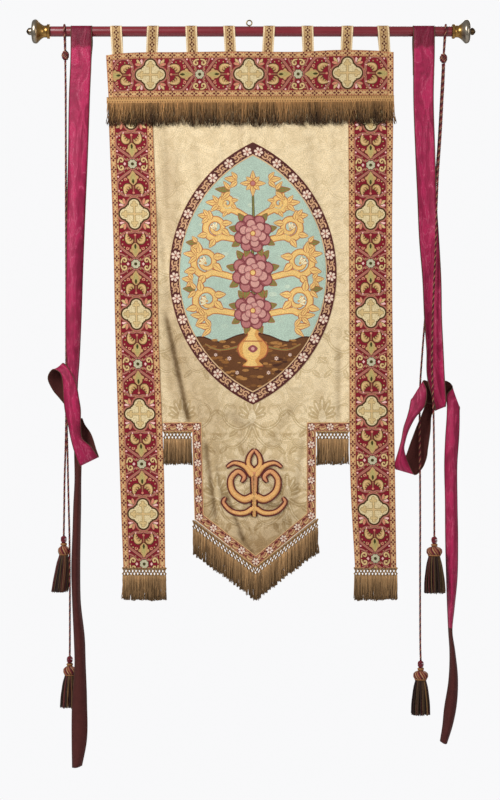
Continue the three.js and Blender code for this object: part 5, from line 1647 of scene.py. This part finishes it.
def net_fringe(name, edge, length, rise=None):
    """Heading, mesh, knots and strands below a line given as places x and z."""
    edge = np.array(edge, float)
    first, last = edge[0, 0], edge[-1, 0]
    count = max(2, round((last - first) / NET["pitch"]))
    pitch = (last - first) / count

    def node(column, row):
        x = first + (column + 0.5 * (row % 2)) * pitch
        x = min(max(x, first + 1), last - 1)
        jitter = 0.5 * math.sin(column * 2.4 + row * 5.1)
        z = float(np.interp(x, edge[:, 0], edge[:, 1])) - row * NET["row_pitch"] + jitter
        return np.array((x + 0.4 * jitter, -float(forward(x, z)) + 0.4 * jitter, z))

    lines, sizes, dyes = [], [], []
    for row in range(NET["rows"]):
        for column in range(count + 1):
            if row % 2 and column == count:
                continue
            a = node(column, row)
            for side in (0, 1):
                other = column - 1 + side if row % 2 == 0 else column + side
                if not 0 <= other <= count - (1 - row % 2):
                    continue
                b = node(other, row + 1)
                sag = np.array((0.5 * (-1 if side else 1), -0.8 + 1.6 * side, 0))
                lines.append([a, a + (b - a) * 0.33 + sag, a + (b - a) * 0.67 + sag, b])
                sizes.append(NET["thread"])
                dyes.append(mixed(NET_PALE, NET_DARK, chance.random()))
            knot = a - (0, 0, 0.2)
            lines.append([knot + (0, 0, 2.6), knot + (0, 0, 1.3), knot - (0, 0, 1.3), knot - (0, 0, 2.6)])
            sizes.append([0.9, NET["knot"], NET["knot"], 0.9])
            dyes.append(mixed(NET_PALE, NET_DARK, chance.uniform(0, 0.6)))
    for row, colour in ((-0.05, NET_PALE), (0.35, NET_DARK)):
        for column in range(count):
            a, b = node(column, 0), node(column + 1, 0)
            a[2] -= row * NET["row_pitch"]
            b[2] -= row * NET["row_pitch"]
            lines.append([a, a + (b - a) * 0.34, a + (b - a) * 0.67, b])
            sizes.append(NET["heading"])
            dyes.append(colour)
    for k in range(int((last - first) / NET["stitch"]) if rise else 0):
        x = first + (k + 0.5) * NET["stitch"]
        z = float(np.interp(x, edge[:, 0], edge[:, 1]))
        up = float(np.interp(x, *zip(*rise)))
        foot = np.array((x, -float(forward(x, z)), z - 1.5))
        if up > 0.8:
            lines.append([foot + (0, 0, (up + 1.5) * t) for t in (0, 0.33, 0.67, 1)])
            sizes.append(0.75)
            dyes.append(mixed(NET_PALE, NET_DARK, k % 2 * 0.6 + chance.random() * 0.3))
    mesh = strands(name + "_mesh", lines, sizes, dyes, 5, fringe_yarn)
    tops = []
    row = NET["rows"]
    for column in range(count + (0 if row % 2 else 1)):
        knot = node(column, row)
        for k in range(NET["strands"]):
            share = (k + 0.5) / NET["strands"] - 0.5
            tops.append((knot[0] + share * pitch * 0.96, knot[1] - 2.4 * math.cos(k * 2.4), knot[2] + 2.5,
                         share * pitch * 0.2))
    drop = length - NET["rows"] * NET["row_pitch"]
    loose = cut_strands(name + "_strands", tops, drop, NET["strand"], STRAND_PALE, STRAND_DARK, 3.2, 1.2, 6)
    return [keep_piece(piece, "net_fringe", name) for piece in (mesh, loose)]


below = LEDGE_FOOT - NET_GAP
start = read(LEFT_BAND, "z", "inner", LEDGE_FOOT) + NET_ENDS["ledge"]
end = read(RIGHT_BAND, "z", "inner", LEDGE_FOOT) - NET_ENDS["ledge"]
net_fringe("ledge_fringe_left", [(start, below), (tongue_left[0] - NET_ENDS["corner"], below)],
           NET_LENGTH["ledge"])
net_fringe("ledge_fringe_right", [(tongue_right[2] + NET_ENDS["corner"], below), (end, below)],
           NET_LENGTH["ledge"])
stitches = [(tongue_left[2] - 1, 0.0), (tongue_left[2], NET_RISE), (tip[0], 0.0), (tongue_right[0], NET_RISE),
            (tongue_right[0] + 1, 0.0)]
net_fringe("tongue_fringe", [
    (tongue_left[2] - NET_ENDS["tongue"], tongue_left[3] - NET_ENDS["tongue_drop"]),
    (tip[0], tip[1] - 2 * NET_GAP),
    (tongue_right[0] + NET_ENDS["tongue"], tongue_right[1] - NET_ENDS["tongue_drop"]),
], NET_LENGTH["tongue"], stitches)
for name, band, near, far in (("left", LEFT_BAND, "outer", "inner"), ("right", RIGHT_BAND, "inner", "outer")):
    foot = band[-1]
    under = foot["z"] - NET_GAP
    edge = [(foot[near] - NET_ENDS["corner"], under), (foot[far] + NET_ENDS["corner"], under)]
    net_fringe("band_fringe_" + name, edge, NET_LENGTH["band"])


# Ribbons: two long crimson ribbons of watered silk with corded edges, laid over the pole, each
# tied in a loose knot half way down. Their rows give both edges, with how far back the left
# edge, the middle and the right edge lie.
RIBBON = {"cloth": 1.1, "wrap": 15.8, "wrap_steps": 8, "step": 7.0, "columns": 9, "piping": 1.3, "flat": 57}
RIBBON_COLUMNS = "ax az bx bz ya ym yb"
RIBBON_LEFT = {
    "leg": table(
        RIBBON_COLUMNS,
        (-496, -143, -443, -143, -12, -12, -12), (-496, -98, -442, -98, -4, -4, -4),
        (-495, -53, -440, -53, 13, 13, 13),
    ),
    "fall": table(
        RIBBON_COLUMNS,
        (-498, -76, -441, -76, -16, -16, -16), (-503, -216, -446, -216, -16, -18, -16),
        (-505, -356, -451, -356, -16, -20, -15), (-508, -493, -457, -493, -16, -23, -14),
        (-510, -664, -464, -664, -16, -27, -13), (-512, -860, -471, -860, -14, -31, -12),
        (-510, -944, -475, -944, -13, -32, -12), (-508, -1014, -480, -1014, -12, -31, -11),
        (-504, -1056, -481, -1056, -10, -27, -9), (-500, -1086, -480, -1081, -5, -16, -5),
        (-498, -1100, -478, -1092, 4, 0, 4), (-503, -1088, -478, -1068, 12, 12, 13),
        (-530, -1053, -499, -1016, 14, 17, 16), (-552, -1025, -523, -984, 9, 12, 10),
        (-563, -990, -523, -953, -4, -6, -5), (-548, -970, -511, -959, -20, -24, -22),
        (-529, -977, -498, -976, -29, -36, -32), (-519, -1008, -482, -1012, -33, -42, -36),
        (-517, -1047, -475, -1049, -32, -43, -36), (-513, -1086, -470, -1081, -29, -42, -34),
        (-504, -1128, -470, -1123, -26, -42, -31), (-496, -1168, -466, -1162, -24, -40, -28),
        (-485, -1207, -442, -1186, -22, -32, -26), (-472, -1240, -421, -1215, -13, -13, -15),
        (-474, -1210, -428, -1196, -5, -3, -7), (-485, -1159, -445, -1148, 2, 6, 0),
        (-492, -1130, -463, -1122, 9, 15, 8), (-494, -1114, -468, -1110, 15, 21, 14),
        (-493, -1110, -470, -1107, 22, 29, 21), (-492, -1128, -471, -1128, 26, 34, 25),
        (-491, -1200, -471, -1200, 18, 24, 18), (-489, -1280, -472, -1280, 8, -6, 8),
        (-492, -1350, -472, -1350, 3, -18, 4), (-494, -1420, -473, -1420, 0, -24, 2),
        (-497, -1532, -474, -1532, -6, -30, -3), (-494, -1616, -472, -1616, -14, -38, -11),
        (-488, -1728, -459, -1728, -26, -46, -24), (-486, -1784, -457, -1784, -30, -49, -28),
        (-493, -1896, -453, -1896, -31, -46, -29), (-494, -2008, -454, -2008, -30, -44, -28),
        (-493, -2080, -467, -2075, -28, -48, -25),
    ),
}
RIBBON_RIGHT = {
    "leg": table(
        RIBBON_COLUMNS,
        (458, -148, 516, -148, -12, -12, -12), (458, -98, 516, -98, -4, -4, -4),
        (458, -53, 517, -53, 13, 13, 13),
    ),
    "fall": table(
        RIBBON_COLUMNS,
        (459, -76, 517, -76, -16, -16, -16), (459, -216, 514, -216, -17, -15, -17),
        (464, -356, 518, -356, -17, -14, -17), (470, -493, 522, -493, -18, -12, -18),
        (475, -608, 529, -608, -19, -11, -19), (484, -720, 535, -720, -20, -9, -20),
        (489, -832, 537, -832, -21, -8, -21), (495, -916, 541, -916, -22, -7, -22),
        (498, -1000, 545, -1000, -22, -6, -22), (509, -1042, 548, -1039, -21, -5, -21),
        (519, -1072, 549, -1063, -18, -6, -17), (521, -1085, 548, -1074, -10, -4, -10),
        (517, -1072, 545, -1058, -2, 0, -2), (502, -1064, 527, -1022, 0, 2, 0),
        (478, -1061, 510, -1009, -1, 1, -1), (455, -1052, 486, -1002, -7, -8, -7),
        (450, -1066, 495, -1026, -14, -17, -14), (447, -1081, 491, -1068, -17, -21, -17),
        (440, -1107, 463, -1105, -14, -33, -17), (432, -1131, 448, -1133, -12, -37, -15),
        (424, -1172, 436, -1168, -13, -38, -14), (415, -1205, 432, -1193, -13, -36, -15),
        (407, -1232, 439, -1219, -13, -28, -15), (407, -1243, 450, -1245, -11, -16, -10),
        (412, -1250, 463, -1265, -4, -3, 1), (422, -1238, 485, -1247, 8, 12, 17),
        (437, -1219, 496, -1222, 14, 17, 16), (453, -1176, 501, -1190, 14, 18, 14),
        (470, -1131, 508, -1140, 14, 22, 14), (484, -1098, 511, -1099, 14, 24, 14),
        (502, -1053, 526, -1078, 14, 22, 14), (523, -1018, 542, -1063, 13, 17, 12),
        (547, -1002, 562, -1056, 9, 11, 8), (569, -1022, 588, -1074, -2, 0, -2),
        (552, -1040, 587, -1084, -12, -14, -12), (553, -1070, 587, -1103, -13, -20, -13),
        (548, -1168, 585, -1168, -12, -28, -12), (546, -1224, 581, -1224, -10, -28, -11),
        (548, -1336, 581, -1336, -8, -28, -10), (549, -1448, 583, -1448, -6, -26, -8),
        (552, -1560, 581, -1560, -4, -26, -6), (555, -1644, 573, -1644, -2, -28, -2),
        (558, -1705, 568, -1705, -2, -30, 2), (561, -1756, 575, -1756, -4, -31, -2),
        (558, -1840, 583, -1840, -6, -28, -4), (545, -1924, 577, -1924, -6, -26, -6),
        (541, -1966, 568, -1966, -6, -28, -6), (534, -2010, 552, -2017, -6, -32, -6),
    ),
}
SILK = srgb(170, 30, 78)
SILK_FOLD = srgb(136, 17, 58)
SILK_LINE = srgb(206, 108, 134)
SILK_PALE = srgb(190, 60, 96)
RIBBON_LINING = srgb(78, 36, 32)
RIBBON_PIPING = srgb(86, 58, 42)
# below these heights each tail hangs with its lining to the front
LINING_FROM = {"left": -1112, "right": -1690}


def silk_material():
    """Watered silk with pale wavy lines, and darker where it wraps the pole: painted shade."""
    made, tree, shader = new_material("silk", 0.42, Sheen_Weight=0.06, Sheen_Roughness=0.35,
                                      Sheen_Tint=SILK_PALE, Specular_IOR_Level=0.25)
    flat = put(tree, "ShaderNodeUVMap", {"uv_map": "cloth"}).outputs["UV"]
    space = put(tree, "ShaderNodeTexCoord").outputs["Object"]
    apart = put(tree, "ShaderNodeSeparateXYZ", Vector=space)
    ribs = put(tree, "ShaderNodeGroup", {"node_tree": weave}, Place=flat, Across=5200, Along=4400)
    years = put(tree, "ShaderNodeGroup", {"node_tree": age}, Place=space, Mottle=0.5, Stain=0.25)
    drawn = put(tree, "ShaderNodeMapping", Vector=flat, Scale=(26.0, 7.0, 1.0))
    water = noise(tree, drawn.outputs["Vector"], 1.3, 4.0, Distortion=1.6)
    watered = ranged(tree, water, 0.0, 1.0, 0.36, 0.6)
    off_line = reckon(tree, "ABSOLUTE", reckon(tree, "SUBTRACT", water, 0.54))
    line = ranged(tree, off_line, 0.5, 0.0, 0.0, 0.012)
    lined = blend(tree, line, blend(tree, watered, SILK_FOLD, SILK), SILK_LINE)
    # from just below the pole upwards the silk is darkened: painted shade
    ragged = reckon(tree, "MULTIPLY_ADD", water, 0.05, apart.outputs["Z"])
    pole_shade = ranged(tree, ragged, 0.0, 0.75, -0.047, -0.04)
    dyed_and_shaded = blend(tree, pole_shade, lined, srgb(150, 96, 120), "MULTIPLY")
    ribbed = ranged(tree, ribs.outputs["Shade"], 0.85, 1.12, 0.2, 0.8)
    tone = reckon(tree, "MULTIPLY", ribbed, years.outputs["Tone"])
    colour = put(tree, "ShaderNodeVectorMath", {"operation": "SCALE"}, _0=dyed_and_shaded, Scale=tone)
    rumple = put(tree, "ShaderNodeBump", Height=water, Strength=0.5, Distance=0.008)
    bump = put(tree, "ShaderNodeBump", Height=ribs.outputs["Height"], Strength=0.35, Distance=0.0003,
               Normal=rumple.outputs["Normal"])
    feed(tree, shader, Base_Color=colour.outputs["Vector"], Roughness=ranged(tree, watered, 0.5, 0.34),
         Normal=bump.outputs["Normal"])
    return made


silk = silk_material()
ribbon_lining = cloth_material("ribbon_lining", 0.75, 3000, 3000, mottle=0.4, plain=RIBBON_LINING)
piping_yarn = yarn_material("piping_yarn", 0.6, 0.03)


def even_curve(rows, spans, step):
    """A curve through rows of points, evenly paced by the lengths of its spans."""
    speeds = (rows[1:] - rows[:-1]) / spans[:, None]
    slopes = np.vstack([speeds[:1], (speeds[:-1] * spans[1:, None] + speeds[1:] * spans[:-1, None])
                        / (spans[1:] + spans[:-1])[:, None], speeds[-1:]])
    out = []
    for i, span in enumerate(spans):
        count = max(1, int(round(span / step)))
        for t in np.arange(count) / count:
            out.append(rows[i] * (2 * t ** 3 - 3 * t ** 2 + 1) + slopes[i] * span * (t ** 3 - 2 * t ** 2 + t)
                       + rows[i + 1] * (3 * t ** 2 - 2 * t ** 3) + slopes[i + 1] * span * (t ** 3 - t ** 2))
    return np.vstack([out, rows[-1]])


for name, ribbon in (("left", RIBBON_LEFT), ("right", RIBBON_RIGHT)):
    rows = list(ribbon["leg"])
    top = ribbon["fall"][0]
    for i in range(RIBBON["wrap_steps"] + 1):
        angle = math.pi * i / RIBBON["wrap_steps"]
        y, z = RIBBON["wrap"] * math.cos(angle), POLE["z"] + RIBBON["wrap"] * math.sin(angle)
        rows.append({"ax": top["ax"], "az": z, "bx": top["bx"], "bz": z, "ya": y, "ym": y, "yb": y})
    rows += ribbon["fall"]
    a = np.array([(r["ax"], r["ya"], r["az"]) for r in rows], float)
    b = np.array([(r["bx"], r["yb"], r["bz"]) for r in rows], float)
    m = np.array([((r["ax"] + r["bx"]) / 2, r["ym"], (r["az"] + r["bz"]) / 2) for r in rows], float)
    spans = sum(np.linalg.norm(line[1:] - line[:-1], axis=1) for line in (a, m, b)) / 3
    a, m, b = (even_curve(line, spans, RIBBON["step"]) for line in (a, m, b))
    run = distances(m)
    share = np.linspace(0, 1, RIBBON["columns"])
    weights = ((1 - share) * (1 - 2 * share), 4 * share * (1 - share), share * (2 * share - 1))
    points = sum(line[:, None] * weight[None, :, None] for line, weight in zip((a, m, b), weights))
    count, wide = len(a), RIBBON["columns"]
    faces = [(i * wide + k, (i + 1) * wide + k, (i + 1) * wide + k + 1, i * wide + k + 1)
             for i in range(count - 1) for k in range(wide - 1)]
    uv = np.stack(np.meshgrid(share * RIBBON["flat"], run), -1).reshape(-1, 2)
    ribbon_cloth = new_piece("silk_ribbon_" + name, points.reshape(-1, 3), faces, silk, uv)
    ribbon_cloth.data.materials.append(ribbon_lining)
    ribbon_cloth.data.materials.append(silk)
    turned = np.maximum.accumulate(m[::-1, 2])[::-1][:-1] < LINING_FROM[name]
    ribbon_cloth.data.polygons.foreach_set("material_index", np.repeat(turned.astype(np.int32), wide - 1))
    back = ribbon_cloth.modifiers.new("back", "SOLIDIFY")
    back.thickness = RIBBON["cloth"] * MM
    back.offset = 0
    back.material_offset = 1
    back.material_offset_rim = 1
    apply_modifiers(ribbon_cloth)
    keep_piece(ribbon_cloth, "silk", "ribbon_" + name)
    piping = strands("ribbon_piping_" + name, [a, b], [RIBBON["piping"]] * 2, [RIBBON_PIPING] * 2, 6,
                     piping_yarn, [b - a] * 2)
    keep_piece(piping, "silk")


# Cord loops: the doubled end of each pair of cords, passed over the pole and drawn tight in a
# round knot of the same twisted cord.
KNOT = {"wide": 11.2, "tall": 15.0, "turns": 4.6, "points": 90, "cord": 0.82,
        "windings": ((0.0, 0.0), (1.15, 1.9))}
LOOP = {"clearance": 1.1, "past": 0.4, "steps": 7, "leg_out": 3.5, "leg_rise": 2, "shoulder_out": 8,
        "shoulder_rise": 22}
CORD_LOOPS = table("name x knot_x knot_z", ("left", -517.4, -515, -91), ("right", 550, 543.8, -99))


def twisted(line, radius, dyes, lay, across):
    """The strands of a twisted cord about a line, each with its radius and dye."""
    way, side, up = frames(line, across)
    run = distances(line)
    ply = radius * 0.5
    made = []
    for k in range(len(dyes)):
        angle = (2 * math.pi * (run / lay + k / len(dyes)))[:, None]
        made.append(line + (radius - ply) * (side * np.cos(angle) + up * np.sin(angle)))
    return made, [ply] * len(dyes), list(dyes)


for row in CORD_LOOPS:
    reach = POLE["radius"] + LOOP["clearance"] + CORD["radius"]
    leg, shoulder = row["knot_z"] + LOOP["leg_rise"], row["knot_z"] + LOOP["shoulder_rise"]
    stops = [(LOOP["leg_out"], leg), (LOOP["shoulder_out"], shoulder)]
    for i in range(LOOP["steps"] + 1):
        angle = -LOOP["past"] + (math.pi + 2 * LOOP["past"]) * i / LOOP["steps"]
        stops.append((reach * math.cos(angle), POLE["z"] + reach * math.sin(angle)))
    stops += [(-LOOP["shoulder_out"], shoulder), (-LOOP["leg_out"], leg)]
    rise = POLE["z"] + reach - row["knot_z"]
    line = smooth_line([(row["knot_x"] + (row["x"] - row["knot_x"]) * (z - row["knot_z"]) / rise, y, z)
                        for y, z in stops], CORD["step"])
    loops, radii, dyes = twisted(line, CORD["radius"], CORD_DYES, CORD["lay"], (1, 0, 0))
    wide, tall = KNOT["wide"] - CORD["radius"] * 0.8, KNOT["tall"] - CORD["radius"] * 0.8
    for tilt, turn_by in KNOT["windings"]:
        t = np.linspace(0, 1, KNOT["points"])
        down = math.pi * (0.14 + 0.72 * t)
        around = 2 * math.pi * KNOT["turns"] * t + turn_by
        x = wide * np.sin(down) * np.cos(around)
        y = wide * np.sin(down) * np.sin(around)
        z = tall * np.cos(down)
        x, z = x * math.cos(tilt) - z * math.sin(tilt) * 0.72, z * math.cos(tilt) + x * math.sin(tilt) * 1.3
        wound = np.stack([row["knot_x"] + x, y, row["knot_z"] + z], 1)
        more = twisted(wound, CORD["radius"] * KNOT["cord"], CORD_DYES, CORD["lay"], (0.1, 0.2, 1))
        loops, radii, dyes = loops + more[0], radii + more[1], dyes + more[2]
    loop = strands("knotted_loop_" + row["name"], loops, radii, dyes, 6, cord_yarn)
    keep_piece(loop, "twisted_cord", "cord_loop_" + row["name"])


# Tassels: a ball knot, a gold ring, a turban head of wound yarn and a cut skirt of dark brown,
# olive and maroon strands on the end of each cord.
TASSELS = table(
    "name x y top length radius lean head",
    ("left_short", -519.7, 3.6, -1436.4, 156, 24.5, -11, 1),
    ("left_long", -502.3, -3.6, -1772.4, 142, 28, -1, 1.12),
    ("right_short", 515.8, -27, -1436.4, 157, 31, 2, 1.35),
    ("right_long", 480.5, 7, -1786.4, 151, 28.5, 0, 1.28),
)
TURBAN = {"from": 28, "deep": 24, "strands": 26, "rows": 12, "lean": 0.9}
SKIRT = {"strands": 190, "radius": 1.25, "from": 47, "neck": 0.62, "neck_at": 0.28, "rows": 9,
         "turn": 2.399963}
SKIRT_MAROON = srgb(84, 32, 32)
SKIRT_DYES = (
    srgb(50, 28, 22), srgb(70, 48, 30), srgb(92, 70, 42),
    SKIRT_MAROON, srgb(38, 22, 18), srgb(116, 86, 52),
)
HEAD_GOLD = srgb(150, 102, 62)
HEAD_CREAM = srgb(172, 132, 90)
HEAD_CRIMSON = srgb(112, 32, 42)
tassel_yarn = yarn_material("tassel_yarn", 0.6, 0.04)
chance = random.Random(11)


def wound_rings(middle, profile, turns, radius):
    """Yarn wound round an upright form: the profile gives how far down and how wide."""
    t = np.linspace(0, 1, int(turns * 20))
    downs = np.interp(t, np.linspace(0, 1, len(profile)), [row[0] for row in profile])
    wide = np.interp(t, np.linspace(0, 1, len(profile)), [row[1] for row in profile]) - radius
    angle = 2 * math.pi * turns * t
    return np.stack([middle[0] + wide * np.cos(angle), middle[1] + wide * np.sin(angle),
                     middle[2] - downs], 1)


for row in TASSELS:
    middle = np.array((row["x"], row["y"], row["top"]))
    head = row["head"]
    lines = [
        wound_rings(middle, [(0.8, 4), (3, 7.2), (6, 8.8), (11, 9), (15, 8.2), (19, 5.6)], 7, 1.4),
        wound_rings(middle, [(20.5, 8.4), (23, 9.8), (26, 8.2)], 3, 1.5),
        wound_rings(middle, [(50, 13.6 * head), (53.5, 13.4 * head)], 2.5, 1.5),
    ]
    radii, dyes = [1.4, 1.5, 1.5], [HEAD_CRIMSON, HEAD_GOLD, HEAD_GOLD]
    count = int(TURBAN["strands"] * head)
    turban = (6.5, 9 * head, 14 * head, 14.6 * head, 13.4 * head, 11.6 * head)
    thickness = [1.0, 1.5, 1.9 * head, *[2.0 * head] * 5, 1.9 * head, 1.8, 1.6, 1.2]
    for k in range(count):
        line = []
        for t in np.linspace(0, 1, TURBAN["rows"]):
            wide = np.interp(t, (0, 0.12, 0.35, 0.62, 0.85, 1), turban)
            angle = 2 * math.pi * k / count + TURBAN["lean"] * t
            line.append((middle[0] + wide * math.cos(angle), middle[1] + wide * math.sin(angle),
                         middle[2] - TURBAN["from"] - TURBAN["deep"] * t))
        lines.append(line)
        radii.append(thickness)
        dyes.append((HEAD_GOLD, HEAD_CRIMSON, SKIRT_MAROON, HEAD_CREAM, HEAD_CRIMSON)[k % 5])
    beside = [(0, 0, 1)] * 3 + [(0.2, 1, 0)] * count
    crown = strands("tassel_head_" + row["name"], lines, radii, dyes, 6, tassel_yarn, beside)
    lines, radii, dyes = [], [], []
    skirt_wide = (10 * head, row["radius"] * SKIRT["neck"] + 3, row["radius"] * 0.93, row["radius"] * 0.97)
    for k in range(SKIRT["strands"]):
        angle = k * SKIRT["turn"]
        fill = math.sqrt((k + 0.5) / SKIRT["strands"]) * chance.uniform(0.93, 1.0)
        reach = row["length"] - SKIRT["from"] + chance.uniform(-4.5, 2.0)
        drift = chance.gauss(0, 0.05)
        line = []
        for t in np.linspace(0, 1, SKIRT["rows"]):
            wide = np.interp(t, (0, SKIRT["neck_at"], 0.7, 1), skirt_wide) * fill
            at = angle + drift * t * 3
            line.append((middle[0] + row["lean"] * t ** 1.4 + wide * math.cos(at),
                         middle[1] + wide * math.sin(at), middle[2] - SKIRT["from"] - reach * t))
        lines.append(line)
        radii.append(SKIRT["radius"] * chance.uniform(0.8, 1.2))
        tone = chance.uniform(0.75, 1.25)
        dyes.append((*(min(1, part * tone) for part in chance.choice(SKIRT_DYES)[:3]), 1))
    skirt = strands("tassel_skirt_" + row["name"], lines, radii, dyes, 4, tassel_yarn)
    for piece in (crown, skirt):
        keep_piece(piece, "tassel_yarn", "tassel_" + row["name"])
    route = cord_lines[row["name"]] * MM
    path = [tuple(float(c) for c in point) for point in (*route[::6], route[-1])]


# End: nothing is left selected.
bpy.ops.object.select_all(action="DESELECT")
